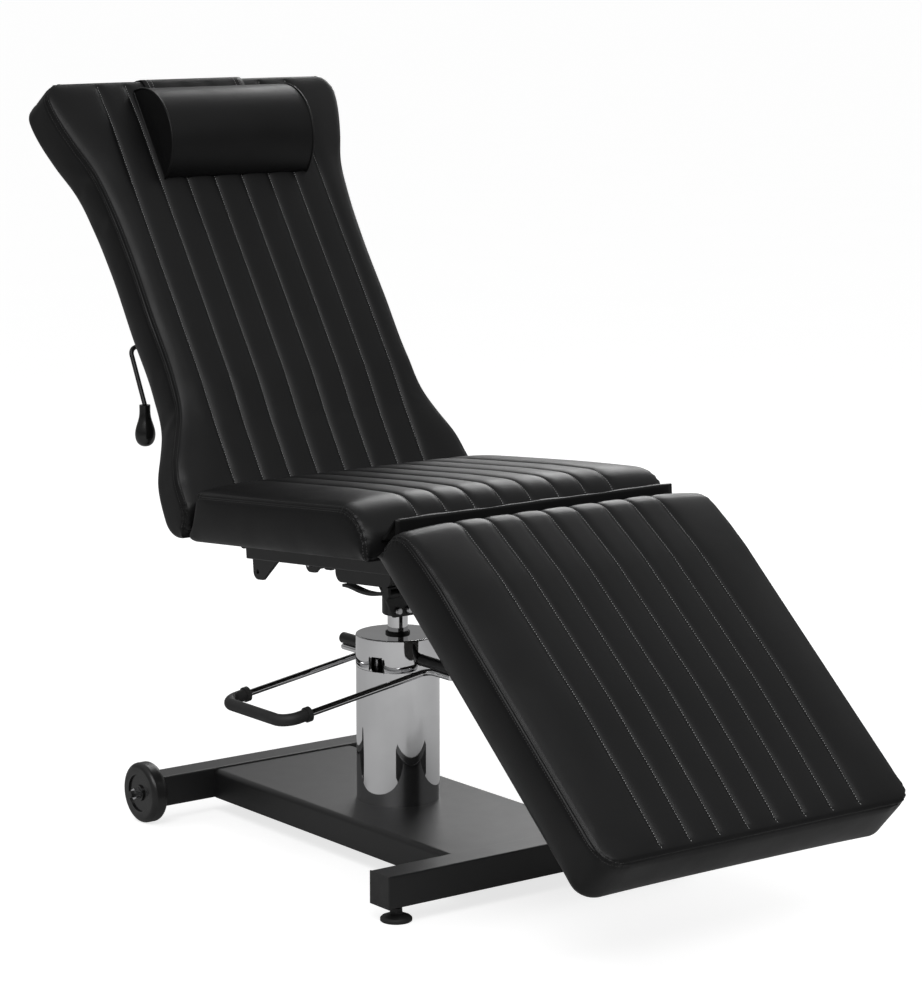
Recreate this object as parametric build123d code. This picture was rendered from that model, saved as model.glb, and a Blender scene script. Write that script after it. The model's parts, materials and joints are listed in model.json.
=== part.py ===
from build123d import *
import math
import os

# Hydraulic tattoo chair: a wheeled steel base, a pedal pump, and a seat with a reclining back and a leg rest.
# The front, where the leg rest is, points towards -Y. Each piece is drawn about the pump's axis at floor level.

# Place of the pump's axis, so that the origin lies under the middle of the chair
PUMP_Y = 110.0

# Fits
RUNNING_FIT = 0.05
SOFT_GAP = 0.3
PLATE_GAP = 0.5
CUT_OVERRUN = 2.0

# Crossbars of the base
FLOOR_GAP = 27.5
CROSSBAR_WIDTH = 50.5
CROSSBAR_HEIGHT = 52.5
CROSSBAR_WALL = 2.5
CROSSBAR_CORNER = 3.0
TUBE_INNER_CORNER = 0.5
FRONT_BAR_LENGTH = 596.0
FRONT_BAR_REACH = 362.0
REAR_BAR_LENGTH = 498.0
REAR_BAR_REACH = 363.0
END_CAP_THICKNESS = 3.0
END_CAP_PLUG_DEPTH = 14.0
END_CAP_EDGE = 1.0

# Folded tray between the crossbars
TRAY_WIDTH = 292.0
TRAY_STEP = 3.0
TRAY_SHEET = 3.0
TRAY_BEND = 9.0
TRAY_LIP = 14.0

# Levelling feet
FOOT_INSET = 29.5
FOOT_RADIUS = 25.0
FOOT_RIM = 5.0
FOOT_RIM_EDGE = 1.25
FOOT_NECK_RADIUS = 10.0
FOOT_HEIGHT = 15.0
FOOT_STEM_RADIUS = 6.0
FOOT_STEM_TOP = 64.0
FOOT_STEM_SEAT = 4.0
FOOT_BUSH_RADIUS = 11.0
FOOT_BUSH_HEIGHT = 12.0
FOOT_NUT_RADIUS = 10.5
FOOT_NUT_HEIGHT = 6.0

# Transport wheels
WHEEL_RADIUS = 52.0
WHEEL_WIDTH = 30.0
WHEEL_SHOULDER = 9.0
WHEEL_HUB_RADIUS = 36.0
WHEEL_HUB_RECESS = 3.0
WHEEL_HUB_RIM = 4.0
WHEEL_BOSS_RADIUS = 14.0
WHEEL_GAP = 7.0
AXLE_RADIUS = 6.0
AXLE_SPACER_RADIUS = 11.0
AXLE_NUT_RADIUS = 10.0
AXLE_NUT_LENGTH = 9.0
AXLE_END = 17.0

# Hydraulic pump
PUMP_RADIUS = 69.6
PUMP_SHEET = 1.6
PUMP_COVER_TOP = 303.5
PUMP_SEAM = 1.5
PUMP_CAP_HEIGHT = 53.0
PUMP_CAP_LIP = 1.2
PUMP_CAP_EDGE = 2.0
PUMP_FLANGE_RADIUS = 62.0
PUMP_FLANGE_THICKNESS = 10.0
PUMP_FOOT_RADIUS = 48.0
PUMP_FOOT_HEIGHT = 150.0
PUMP_BARREL_RADIUS = 33.0
PLUNGER_BUSH_RADIUS = 16.0
PUMP_BOLT_RADIUS = 5.0
PUMP_BOLT_HEAD_RADIUS = 8.0
PUMP_BOLT_HEAD_HEIGHT = 6.0
PUMP_BOLT_CIRCLE = 54.0
PUMP_FOOT_PLATE = 180.0
PUMP_FOOT_PLATE_THICKNESS = 6.0
CAP_NOTCH_ANGLE = -156.0
CAP_NOTCH_WIDTH = 20.0
CAP_NOTCH_HEIGHT = 24.0
CAP_SPIGOT_DEPTH = 8.0
CAP_SPIGOT_WALL = 3.2
CAP_STEP = 4.0

# Piston that lifts the upper part
PISTON_RADIUS = 17.0
PISTON_BOTTOM = 120.0
PISTON_TOP = 446.0
COLLAR_RADIUS = 20.5
COLLAR_HEIGHT = 4.0
COLLAR_EDGE = 1.0

# Pump pedal
PEDAL_PIVOT_X = -3.0
PEDAL_PIVOT_Z = 324.0
PEDAL_BAR_RADIUS = 5.5
PEDAL_LEG_SPREAD = 89.0
PEDAL_REACH = 288.0
PEDAL_SLOPE = 9.0
PEDAL_BEND = 27.0
PEDAL_END_BEND = 16.0
PEDAL_GRIP_RADIUS = 10.0
PEDAL_GRIP_RETURN = 48.0
PEDAL_GRIP_COLLAR_RADIUS = 12.5
PEDAL_GRIP_COLLAR_LENGTH = 8.0
PEDAL_SLEEVE_RADIUS = 9.5
PEDAL_SLEEVE_START = 71.5
PEDAL_SLEEVE_END = 152.0
PEDAL_STUB_RADIUS = 6.0
PEDAL_STUB_START = 26.6
PEDAL_BOSS_START = 23.5
PEDAL_BOSS_END = 36.2
PEDAL_SLEEVE_CLOSED_END = 5.0
ROCKER_ARM_OUTER = 44.0
ROCKER_ARM_THICKNESS = 6.0
ROCKER_ARM_HEIGHT = 14.0
ROCKER_END_RADIUS = 5.5
ROCKER_REACH = 40.0
ROCKER_ROD_RADIUS = 4.0
PLUNGER_RADIUS = 8.0
PLUNGER_BUSH_TOP = 284.0
PLUNGER_BUSH_LENGTH = 132.0
PLUNGER_BORE_LENGTH = 142.0
PLUNGER_LENGTH = 103.0

# Socket and mount on top of the piston
SOCKET_RADIUS = 26.0
SOCKET_BOTTOM = 390.0
SOCKET_EDGE = 4.0
SOCKET_PAD_WIDTH = 60.0
SOCKET_PAD_HEIGHT = 24.0
GUSSET_THICKNESS = 5.0
GUSSET_FOOT_WIDTH = 60.0
GUSSET_TOP_WIDTH = 116.0
GUSSET_SLOPE_HEIGHT = 56.0
GUSSET_BOLT_PITCH = 21.5
GUSSET_BOLT_RADIUS = 4.0
GUSSET_BOLT_HEAD_RADIUS = 6.5
GUSSET_BOLT_HEAD_HEIGHT = 5.0
GUSSET_BOLT_RISE = 12.0
MOUNT_WIDTH = 160.0
MOUNT_LENGTH = 156.0
MOUNT_HEIGHT = 47.0
MOUNT_SHEET = 5.0
MOUNT_CORNER = 16.0
MOUNT_BEND = 7.0

# Swivel lock lever under the mount
LOCK_WIDTH = 16.0
LOCK_THICKNESS = 5.0
LOCK_REAR = 68.0
LOCK_PIVOT_Y = -62.0
LOCK_BELLY_DROP = 9.0
LOCK_BELLY_REAR = 22.7
LOCK_BELLY_REAR_SHARE = 0.75
LOCK_BELLY_FRONT = -20.7
LOCK_GAP = 3.5
LOCK_PIN_RADIUS = 4.0
LOCK_EYE_RADIUS = 8.0
LOCK_EAR_THICKNESS = 5.0
LOCK_BRIDGE_THICKNESS = 3.0

# Seat, tilted with its front edge up
SEAT_TOP_AT_PUMP = 610.7
SEAT_TILT = 4.9
CUSHION_WIDTH = 590.0
SEAT_PAD_HEIGHT = 76.0
SEAT_REAR_TOP = 146.0
SEAT_REAR_BOTTOM = 186.0
SEAT_FRONT = 332.0
SEAT_FRONT_ROUND = 66.0
BOARD_THICKNESS = 12.0
BOARD_INSET = 14.0

# Steel frame under the seat
SIDE_BAR_WIDTH = 20.0
SIDE_BAR_HEIGHT = 38.0
SIDE_BAR_OUTER = 200.0
SIDE_BAR_REAR = 160.0
SIDE_BAR_FRONT = 318.0
FRAME_WALL = 2.0
CROSS_TUBE_WIDTH = 20.0
MOUNT_TUBE_REACH = 60.0
REAR_TUBE_Y = 150.0

# Hinge of the back, in the seat's own tilted frame
HINGE_DROP = 95.0
BACK_HINGE_Y = 240.0
BACK_ANGLE = 56.4
HINGE_PIN_RADIUS = 6.0
BARREL_RADIUS = 13.0
LUG_THICKNESS = 6.0
LUG_RADIUS = 13.5
BACK_TUBE_SPREAD = 140.0
BACK_TUBE_WIDTH = 25.0
BACK_TUBE_HEIGHT = 30.0
BACK_TUBE_TOP = 640.0
BACK_CROSS_TUBES = [62.0, 372.0, 600.0]

# Back cushion: half width along its length, as shares of the length and of the widest half width
BACK_LENGTH = 822.0
BACK_PAD_HEIGHT = 80.0
BACK_END_RADIUS = 40.0
BACK_CORNER = 40.0
BACK_OUTLINE_SHARES = [
    (0.058, 0.986),
    (0.140, 0.950),
    (0.190, 0.885),
    (0.240, 0.826),
    (0.320, 0.800),
    (0.460, 0.800),
    (0.605, 0.797),
    (0.710, 0.812),
    (0.790, 0.846),
    (0.855, 0.915),
    (0.915, 0.965),
    (1.0, 1.0),
]

# Leg rest
LEG_HINGE_Y = -357.0
LEG_ANGLE = 41.2
LEG_START = -24.0
LEG_END = 620.0
LEG_PAD_HEIGHT = 80.0
LEG_CORNER = 22.0
LEG_EDGE = 14.0
LEG_UPPER_ROUND = 30.0
LEG_TUBE_SPREAD = 149.0
LEG_TUBE_WIDTH = 20.0
LEG_TUBE_HEIGHT = 30.0
LEG_TUBE_END = 492.0
LEG_CROSS_TUBES = [60.0, 276.0, 472.0]
FLAP_WIDTH = 550.0
FLAP_THICKNESS = 3.0
FLAP_SET_DOWN = 26.0
FLAP_REACH = 10.0
FLAP_DROP = 15.0

# Ratchet hinges that hold the leg rest
RATCHET_RADIUS = 14.0
RATCHET_WIDTH = 9.6
RATCHET_ARM_LENGTH = 86.0
RATCHET_ARM_WIDTH = 16.0
RATCHET_ARM_THICKNESS = 4.0
RATCHET_RIVET_RADIUS = 4.0

# Locking gas spring behind the back
SPRING_FOOT_DROP = 55.0
SPRING_HEAD_T = 372.0
SPRING_HEAD_DEPTH = 38.0
SPRING_PIN_RADIUS = 4.0
SPRING_LUG_SPREAD = 20.0
CYLINDER_RADIUS = 13.0
CYLINDER_WALL = 1.6
CYLINDER_END_ROUND = 3.2
CYLINDER_START = 18.0
CYLINDER_END = 338.0
CYLINDER_GUIDE = 14.0
EYE_WIDTH = 27.0
EYE_RADIUS = 10.0
ROD_RADIUS = 5.0
ROD_INNER_END = 250.0
ROD_PISTON_LENGTH = 12.0
HEAD_BELOW = 24.0
HEAD_ABOVE = 18.0
HEAD_WIDTH = 24.0
HEAD_RADIUS = 16.0
HEAD_EDGE = 5.3
OPEN_PIVOT_CLEARANCE = 6.0
VALVE_RADIUS = 2.5
VALVE_SHOW = 6.0
VALVE_INNER_GAP = 2.0

# Release lever and its shaft
RELEASE_T = 402.0
RELEASE_DEPTH = 54.0
RELEASE_ROD_RADIUS = 4.0
RELEASE_SHAFT_INNER = 26.0
RELEASE_LEVER_X = 205.0
RELEASE_BEND = 14.0
RELEASE_ARM_T = 298.0
RELEASE_ARM_DEPTH = 68.0
RELEASE_FINGER_WIDTH = 14.0
RELEASE_FINGER_REACH = 21.0
RELEASE_FINGER_THICKNESS = 5.0
RELEASE_BEARING_X = 140.0
KNOB_LENGTH = 72.0
KNOB_NECK_RADIUS = 9.5
KNOB_WAIST_RADIUS = 10.3
KNOB_WAIST_SHARE = 0.28
KNOB_RADIUS = 17.5
KNOB_BELLY_SHARE = 0.72
KNOB_OVERLAP = 14.0
EAR_THICKNESS = 4.0
EAR_SPREAD = 17.0
EAR_MARGIN = 11.0

# Headrest bolster on its strap
BOLSTER_WIDTH = 293.0
BOLSTER_OFFSET = 16.0
BOLSTER_CHORD = 176.0
BOLSTER_HEIGHT = 72.0
BOLSTER_T = 726.0
STRAP_WIDTH = 205.0
STRAP_THICKNESS = 3.0
STRAP_FRONT_T = 660.0
STRAP_REAR_T = 706.0
STRAP_CORNER = 8.0


def block(x0, x1, y0, y1, z0, z1):
    """A box between two corners."""
    middle = Pos((x0 + x1) / 2, (y0 + y1) / 2, (z0 + z1) / 2)
    return middle * Box(abs(x1 - x0), abs(y1 - y0), abs(z1 - z0))


def disc_z(radius, z0, z1, x=0, y=0):
    """An upright cylinder."""
    return Pos(x, y, (z0 + z1) / 2) * Cylinder(radius, abs(z1 - z0))


def disc_x(radius, x0, x1, y=0, z=0):
    """A cylinder along X."""
    return Pos((x0 + x1) / 2, y, z) * Rot(0, 90, 0) * Cylinder(radius, abs(x1 - x0))


def disc_y(radius, y0, y1, x=0, z=0):
    """A cylinder along Y."""
    return Pos(x, (y0 + y1) / 2, z) * Rot(90, 0, 0) * Cylinder(radius, abs(y1 - y0))


def hex_z(radius, z0, z1, x=0, y=0):
    """An upright hexagonal head or nut, radius to its corners."""
    return Pos(x, y, z0) * extrude(RegularPolygon(radius, 6), z1 - z0)


def plate_x(points, x0, x1):
    """A flat plate with an outline in Y and Z, between two X places."""
    outline = make_face(Polyline(*points, close=True))
    return Pos(x0, 0, 0) * extrude(Plane.YZ * outline, x1 - x0)


def box_tube(length, width, height, wall, corner):
    """A rectangular tube along X, centred."""
    outer = RectangleRounded(width, height, corner)
    inner = RectangleRounded(width - 2 * wall, height - 2 * wall, TUBE_INNER_CORNER)
    return Pos(-length / 2, 0, 0) * extrude(Plane.YZ * (outer - inner), length)


def pair(shape):
    """A piece and its mirror image across the chair's middle."""
    return [shape, mirror(shape, Plane.YZ)]


# Frames of the three padded sections

BAR_TOP = FLOOR_GAP + CROSSBAR_HEIGHT
BAR_MIDDLE = FLOOR_GAP + CROSSBAR_HEIGHT / 2
FOOT_SPREAD = FRONT_BAR_LENGTH / 2 - FOOT_INSET
seat_frame = Pos(0, 0, SEAT_TOP_AT_PUMP) * Rot(-SEAT_TILT, 0, 0)
back_frame = seat_frame * Pos(0, BACK_HINGE_Y, -HINGE_DROP) * Rot(BACK_ANGLE + SEAT_TILT, 0, 0)
leg_frame = seat_frame * Pos(0, LEG_HINGE_Y, -HINGE_DROP) * Rot(LEG_ANGLE + SEAT_TILT, 0, 0)

# In the gas spring's frame, Y runs from its foot pin to its head
recline = math.radians(BACK_ANGLE + SEAT_TILT)
spring_run = SPRING_HEAD_T * math.cos(recline) + SPRING_HEAD_DEPTH * math.sin(recline)
spring_rise = SPRING_HEAD_T * math.sin(recline) - SPRING_HEAD_DEPTH * math.cos(recline) + SPRING_FOOT_DROP
SPRING_LENGTH = math.hypot(spring_run, spring_rise)
spring_angle = math.degrees(math.atan2(spring_rise, spring_run))
spring_frame = seat_frame * Pos(0, BACK_HINGE_Y, -HINGE_DROP - SPRING_FOOT_DROP) * Rot(spring_angle, 0, 0)

pieces = {}


# Base

def crossbar(length):
    return box_tube(length, CROSSBAR_WIDTH, CROSSBAR_HEIGHT, CROSSBAR_WALL, CROSSBAR_CORNER)


def make_front_crossbar():
    bar = Pos(0, -FRONT_BAR_REACH, BAR_MIDDLE) * crossbar(FRONT_BAR_LENGTH)
    floor_top = FLOOR_GAP + CROSSBAR_WALL
    for side in (-1, 1):
        place = {"x": side * FOOT_SPREAD, "y": -FRONT_BAR_REACH}
        bar += disc_z(FOOT_BUSH_RADIUS, FLOOR_GAP, floor_top + FOOT_BUSH_HEIGHT, **place)
        bar -= disc_z(FOOT_STEM_RADIUS + RUNNING_FIT, 0, BAR_TOP - 2 * CROSSBAR_WALL, **place)
    return bar


def make_rear_crossbar():
    return Pos(0, REAR_BAR_REACH, BAR_MIDDLE) * crossbar(REAR_BAR_LENGTH)


def end_cap(width, height):
    plate = Pos(0, 0, END_CAP_THICKNESS / 2) * Box(width, height, END_CAP_THICKNESS)
    plate = chamfer(plate.faces().sort_by(Axis.Z)[-1].edges(), END_CAP_EDGE)
    inner = 2 * (CROSSBAR_WALL + SOFT_GAP)
    plug = Box(width - inner, height - inner, END_CAP_PLUG_DEPTH)
    hollow = Box(width - inner - 2 * CROSSBAR_WALL, height - inner - 2 * CROSSBAR_WALL, END_CAP_PLUG_DEPTH)
    return plate + Pos(0, 0, -END_CAP_PLUG_DEPTH / 2) * (plug - hollow)


def make_front_end_caps():
    cap = Rot(0, 90, 0) * end_cap(CROSSBAR_HEIGHT, CROSSBAR_WIDTH)
    return pair(Pos(FRONT_BAR_LENGTH / 2, -FRONT_BAR_REACH, BAR_MIDDLE) * cap)


def make_wheel_axles():
    """Each axle is welded through a plate that closes the end of the rear crossbar."""
    plate_side = REAR_BAR_LENGTH / 2
    plate = Pos(plate_side + END_CAP_THICKNESS / 2, REAR_BAR_REACH, BAR_MIDDLE)
    plate = plate * Box(END_CAP_THICKNESS, CROSSBAR_WIDTH, CROSSBAR_HEIGHT)
    wheel_inner = plate_side + WHEEL_GAP
    wheel_outer = wheel_inner + WHEEL_WIDTH
    place = {"y": REAR_BAR_REACH, "z": WHEEL_RADIUS}
    axle = plate + disc_x(AXLE_SPACER_RADIUS, plate_side + END_CAP_THICKNESS, wheel_inner - PLATE_GAP, **place)
    return pair(axle + disc_x(AXLE_RADIUS, plate_side - AXLE_END, wheel_outer + AXLE_END, **place))


def make_axle_nuts():
    start = REAR_BAR_LENGTH / 2 + WHEEL_GAP + WHEEL_WIDTH + PLATE_GAP
    nut = Rot(0, 90, 0) * hex_z(AXLE_NUT_RADIUS, 0, AXLE_NUT_LENGTH)
    nut -= disc_x(AXLE_RADIUS, -CUT_OVERRUN, AXLE_NUT_LENGTH + CUT_OVERRUN)
    return pair(Pos(start, REAR_BAR_REACH, WHEEL_RADIUS) * nut)


def make_base_tray():
    """A folded sheet with rounded long edges, side flanges and inward lips, on a welded pump plate."""
    top = BAR_TOP - TRAY_STEP
    height = top - FLOOR_GAP
    half = TRAY_WIDTH / 2
    length = FRONT_BAR_REACH + REAR_BAR_REACH - CROSSBAR_WIDTH
    front = -FRONT_BAR_REACH + CROSSBAR_WIDTH / 2
    outer = Pos(0, 0, FLOOR_GAP + height / 2) * Box(TRAY_WIDTH, length, height)
    outer = fillet(outer.edges().filter_by(Axis.Y).group_by(Axis.Z)[-1], TRAY_BEND)
    inside_width = TRAY_WIDTH - 2 * TRAY_SHEET
    inside = Pos(0, 0, FLOOR_GAP + TRAY_SHEET + (height - 2 * TRAY_SHEET) / 2)
    inside = inside * Box(inside_width, length + 2 * CUT_OVERRUN, height - 2 * TRAY_SHEET)
    inside = fillet(inside.edges().filter_by(Axis.Y).group_by(Axis.Z)[-1], TRAY_BEND - TRAY_SHEET)
    mouth = half - TRAY_LIP
    tray = outer - inside - block(-mouth, mouth, -length, length, 0, FLOOR_GAP + TRAY_SHEET + CUT_OVERRUN)
    tray = Pos(0, front + length / 2, 0) * tray
    plate_half = PUMP_FOOT_PLATE / 2
    plate_bottom = top - TRAY_SHEET - PUMP_FOOT_PLATE_THICKNESS
    tray += block(-plate_half, plate_half, -plate_half, plate_half, plate_bottom, top - TRAY_SHEET)
    holes = disc_z(PUMP_BOLT_RADIUS + PLATE_GAP, plate_bottom - CUT_OVERRUN, top + CUT_OVERRUN)
    for place in PolarLocations(PUMP_BOLT_CIRCLE, 4, start_angle=45):
        tray -= place * holes
    return tray


def make_foot_pads():
    """Feet with a rim, a cone and a neck, turned about their stems."""
    outline = Polyline(
        (0, 0),
        (FOOT_RADIUS - FOOT_RIM_EDGE, 0),
        (FOOT_RADIUS, FOOT_RIM_EDGE),
        (FOOT_RADIUS, FOOT_RIM),
        (FOOT_RADIUS - FOOT_RIM / 2, FOOT_RIM + FOOT_RIM / 2),
        (FOOT_NECK_RADIUS, FOOT_HEIGHT - FOOT_RIM / 2),
        (FOOT_NECK_RADIUS, FOOT_HEIGHT),
        (0, FOOT_HEIGHT),
        close=True,
    )
    pad = revolve(Plane.XZ * make_face(outline), Axis.Z)
    pad -= disc_z(FOOT_STEM_RADIUS, FOOT_STEM_SEAT, FOOT_HEIGHT + CUT_OVERRUN)
    return [Pos(side * FOOT_SPREAD, -FRONT_BAR_REACH, 0) * pad for side in (-1, 1)]


def make_foot_stems():
    stem = disc_z(FOOT_STEM_RADIUS, FOOT_STEM_SEAT, FOOT_STEM_TOP)
    stem += hex_z(FOOT_NUT_RADIUS, FOOT_HEIGHT, FOOT_HEIGHT + FOOT_NUT_HEIGHT)
    return [Pos(side * FOOT_SPREAD, -FRONT_BAR_REACH, 0) * stem for side in (-1, 1)]


def wheel_parts():
    """A tyre with rounded shoulders and a dished hub, both turned about X."""
    tyre = Rot(0, 90, 0) * Cylinder(WHEEL_RADIUS, WHEEL_WIDTH)
    tyre = fillet(tyre.edges().filter_by(GeomType.CIRCLE), WHEEL_SHOULDER)
    tyre -= Rot(0, 90, 0) * Cylinder(WHEEL_HUB_RADIUS, WHEEL_WIDTH + CUT_OVERRUN)
    hub = Rot(0, 90, 0) * Cylinder(WHEEL_HUB_RADIUS, WHEEL_WIDTH)
    dish = Cylinder(WHEEL_HUB_RADIUS - WHEEL_HUB_RIM, WHEEL_HUB_RECESS + CUT_OVERRUN)
    dish -= Cylinder(WHEEL_BOSS_RADIUS, WHEEL_HUB_RECESS + CUT_OVERRUN)
    for side in (-1, 1):
        hub -= Pos(side * (WHEEL_WIDTH + CUT_OVERRUN - WHEEL_HUB_RECESS) / 2, 0, 0) * Rot(0, 90, 0) * dish
    hub -= Rot(0, 90, 0) * Cylinder(AXLE_RADIUS + RUNNING_FIT, WHEEL_WIDTH + CUT_OVERRUN)
    return tyre, hub


def make_wheels():
    tyre, hub = wheel_parts()
    reach = REAR_BAR_LENGTH / 2 + WHEEL_GAP + WHEEL_WIDTH / 2
    for name, side in (("left", -1), ("right", 1)):
        place = Pos(side * reach, REAR_BAR_REACH, WHEEL_RADIUS)
        pieces[name + "_wheel_tyre"] = place * tyre
        pieces[name + "_wheel_hub"] = place * hub


def make_base():
    pieces["front_crossbar"] = make_front_crossbar()
    pieces["rear_crossbar"] = make_rear_crossbar()
    pieces["front_end_caps"] = make_front_end_caps()
    pieces["base_tray"] = make_base_tray()
    pieces["wheel_axles"] = make_wheel_axles()
    pieces["axle_nuts"] = make_axle_nuts()
    left_pad, right_pad = make_foot_pads()
    left_stem, right_stem = make_foot_stems()
    pieces["left_foot_pad"] = left_pad
    pieces["right_foot_pad"] = right_pad
    pieces["left_foot_stem"] = left_stem
    pieces["right_foot_stem"] = right_stem
    make_wheels()


# Pump and piston

PUMP_BOTTOM = BAR_TOP - TRAY_STEP
CAP_BOTTOM = PUMP_COVER_TOP + PUMP_SEAM
CAP_TOP = CAP_BOTTOM + PUMP_CAP_HEIGHT


def make_pump_cover():
    tube = disc_z(PUMP_RADIUS, PUMP_BOTTOM, PUMP_COVER_TOP)
    return tube - disc_z(PUMP_RADIUS - PUMP_SHEET, PUMP_BOTTOM - CUT_OVERRUN, PUMP_COVER_TOP + CUT_OVERRUN)


def make_pump_cap():
    """A pressed cap with a slot for the rocker, holes for the pedal's sleeves and one for the piston."""
    outer = PUMP_RADIUS + PUMP_CAP_LIP / 2
    cap = disc_z(outer, CAP_BOTTOM, CAP_TOP)
    cap = fillet(cap.edges().group_by(Axis.Z)[-1], PUMP_CAP_EDGE)
    inner = outer - PUMP_SHEET
    cap -= disc_z(inner, CAP_BOTTOM - CUT_OVERRUN, CAP_TOP - PUMP_SHEET)
    spigot_radius = PUMP_RADIUS - PUMP_SHEET - RUNNING_FIT
    cap += disc_z(inner, CAP_BOTTOM, CAP_BOTTOM + CAP_STEP)
    cap += disc_z(spigot_radius, PUMP_COVER_TOP - CAP_SPIGOT_DEPTH, CAP_BOTTOM)
    cap -= disc_z(spigot_radius - CAP_SPIGOT_WALL, 0, CAP_BOTTOM + CAP_STEP + CUT_OVERRUN)
    cap -= disc_z(PISTON_RADIUS + PLATE_GAP, CAP_BOTTOM, CAP_TOP + CUT_OVERRUN)
    notch = Pos(outer, 0, CAP_BOTTOM) * Box(outer, CAP_NOTCH_WIDTH, 2 * CAP_NOTCH_HEIGHT)
    cap -= Rot(0, 0, CAP_NOTCH_ANGLE) * notch
    hole = PEDAL_SLEEVE_RADIUS + PLATE_GAP
    cap -= disc_y(hole, -PUMP_RADIUS - CUT_OVERRUN, PUMP_RADIUS + CUT_OVERRUN, PEDAL_PIVOT_X, PEDAL_PIVOT_Z)
    return cap


def make_pump_body():
    """Flange, oil tank and cylinder barrel, with side bosses for the pedal's stub axles."""
    flange_top = PUMP_BOTTOM + PUMP_FLANGE_THICKNESS
    tank_top = PUMP_BOTTOM + PUMP_FOOT_HEIGHT
    barrel_top = CAP_TOP - PUMP_SHEET
    body = disc_z(PUMP_FLANGE_RADIUS, PUMP_BOTTOM, flange_top)
    body += disc_z(PUMP_FOOT_RADIUS, flange_top, tank_top)
    body += disc_z(PUMP_BARREL_RADIUS, tank_top, barrel_top)
    plunger_x = PEDAL_PIVOT_X - ROCKER_REACH
    body += disc_z(PLUNGER_BUSH_RADIUS, PLUNGER_BUSH_TOP - PLUNGER_BUSH_LENGTH, PLUNGER_BUSH_TOP, x=plunger_x)
    body -= disc_z(PISTON_RADIUS + RUNNING_FIT, flange_top, CAP_TOP + CUT_OVERRUN)
    body -= disc_z(PLUNGER_RADIUS + RUNNING_FIT, PLUNGER_BUSH_TOP - PLUNGER_BORE_LENGTH, CAP_TOP, x=plunger_x)
    place = (PEDAL_PIVOT_X, PEDAL_PIVOT_Z)
    stub_clear = PEDAL_STUB_RADIUS + RUNNING_FIT
    for side in (-1, 1):
        body += disc_y(ROCKER_ARM_HEIGHT / 2, side * PEDAL_BOSS_START, side * PEDAL_BOSS_END, *place)
        body -= disc_y(stub_clear, side * (PEDAL_STUB_START - RUNNING_FIT), side * PUMP_RADIUS, *place)
    holes = disc_z(PUMP_BOLT_RADIUS, PUMP_BOTTOM - CUT_OVERRUN, flange_top + CUT_OVERRUN)
    for place in PolarLocations(PUMP_BOLT_CIRCLE, 4, start_angle=45):
        body -= place * holes
    return body


def make_pump_bolts():
    """Bolts that come up through the tray into the pump's flange."""
    plate_bottom = PUMP_BOTTOM - TRAY_SHEET - PUMP_FOOT_PLATE_THICKNESS
    bolt = hex_z(PUMP_BOLT_HEAD_RADIUS, plate_bottom - PUMP_BOLT_HEAD_HEIGHT, plate_bottom)
    bolt += disc_z(PUMP_BOLT_RADIUS, plate_bottom, PUMP_BOTTOM + PUMP_FLANGE_THICKNESS)
    return [place * bolt for place in PolarLocations(PUMP_BOLT_CIRCLE, 4, start_angle=45)]


def make_piston_collar():
    collar = disc_z(COLLAR_RADIUS, CAP_TOP, CAP_TOP + COLLAR_HEIGHT)
    collar = chamfer(collar.edges().group_by(Axis.Z)[-1], COLLAR_EDGE)
    return collar - disc_z(PISTON_RADIUS + RUNNING_FIT, CAP_TOP - CUT_OVERRUN, CAP_TOP + 2 * COLLAR_HEIGHT)


def make_piston_rod():
    rod = disc_z(PISTON_RADIUS, PISTON_BOTTOM, PISTON_TOP)
    return chamfer(rod.edges().filter_by(GeomType.CIRCLE), PUMP_CAP_EDGE)


def make_pump():
    pieces["pump_cover"] = make_pump_cover()
    pieces["pump_cap"] = make_pump_cap()
    pieces["pump_body"] = make_pump_body()
    pieces["pump_bolts"] = make_pump_bolts()
    pieces["piston_collar"] = make_piston_collar()
    pieces["piston_rod"] = make_piston_rod()


# Pedal

pedal_frame = Pos(PEDAL_PIVOT_X, 0, PEDAL_PIVOT_Z - PEDAL_SLEEVE_RADIUS - PEDAL_BAR_RADIUS)
pedal_frame = pedal_frame * Rot(0, -PEDAL_SLOPE, 0)


def pedal_path(reach_in, spread, ends):
    """The loop's centre line: two legs, a grip bar and, where asked, ends that turn outwards."""
    corners = [(reach_in, -spread), (-PEDAL_REACH, -spread), (-PEDAL_REACH, spread), (reach_in, spread)]
    radii = [PEDAL_BEND, PEDAL_BEND]
    if ends:
        corners = [(reach_in, -PEDAL_SLEEVE_END)] + corners + [(reach_in, PEDAL_SLEEVE_END)]
        radii = [PEDAL_END_BEND] + radii + [PEDAL_END_BEND]
    return FilletPolyline(*corners, radius=radii)


def swept_bar(path, radius):
    start = Plane(origin=path @ 0, z_dir=path % 0)
    return sweep(start * Circle(radius), path=path)


def make_pedal_loop():
    return pedal_frame * swept_bar(pedal_path(0, PEDAL_LEG_SPREAD, True), PEDAL_BAR_RADIUS)


def make_pedal_grip():
    """A rubber sleeve over the grip bar and both bends, with a collar at each end."""
    path = pedal_path(-PEDAL_REACH + PEDAL_GRIP_RETURN, PEDAL_LEG_SPREAD, False)
    grip = swept_bar(path, PEDAL_GRIP_RADIUS)
    end = -PEDAL_REACH + PEDAL_GRIP_RETURN
    for side in (-1, 1):
        grip += disc_x(PEDAL_GRIP_COLLAR_RADIUS, end - PEDAL_GRIP_COLLAR_LENGTH, end, y=side * PEDAL_LEG_SPREAD)
    grip -= swept_bar(pedal_path(end + CUT_OVERRUN, PEDAL_LEG_SPREAD, False), PEDAL_BAR_RADIUS)
    return pedal_frame * grip


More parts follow.
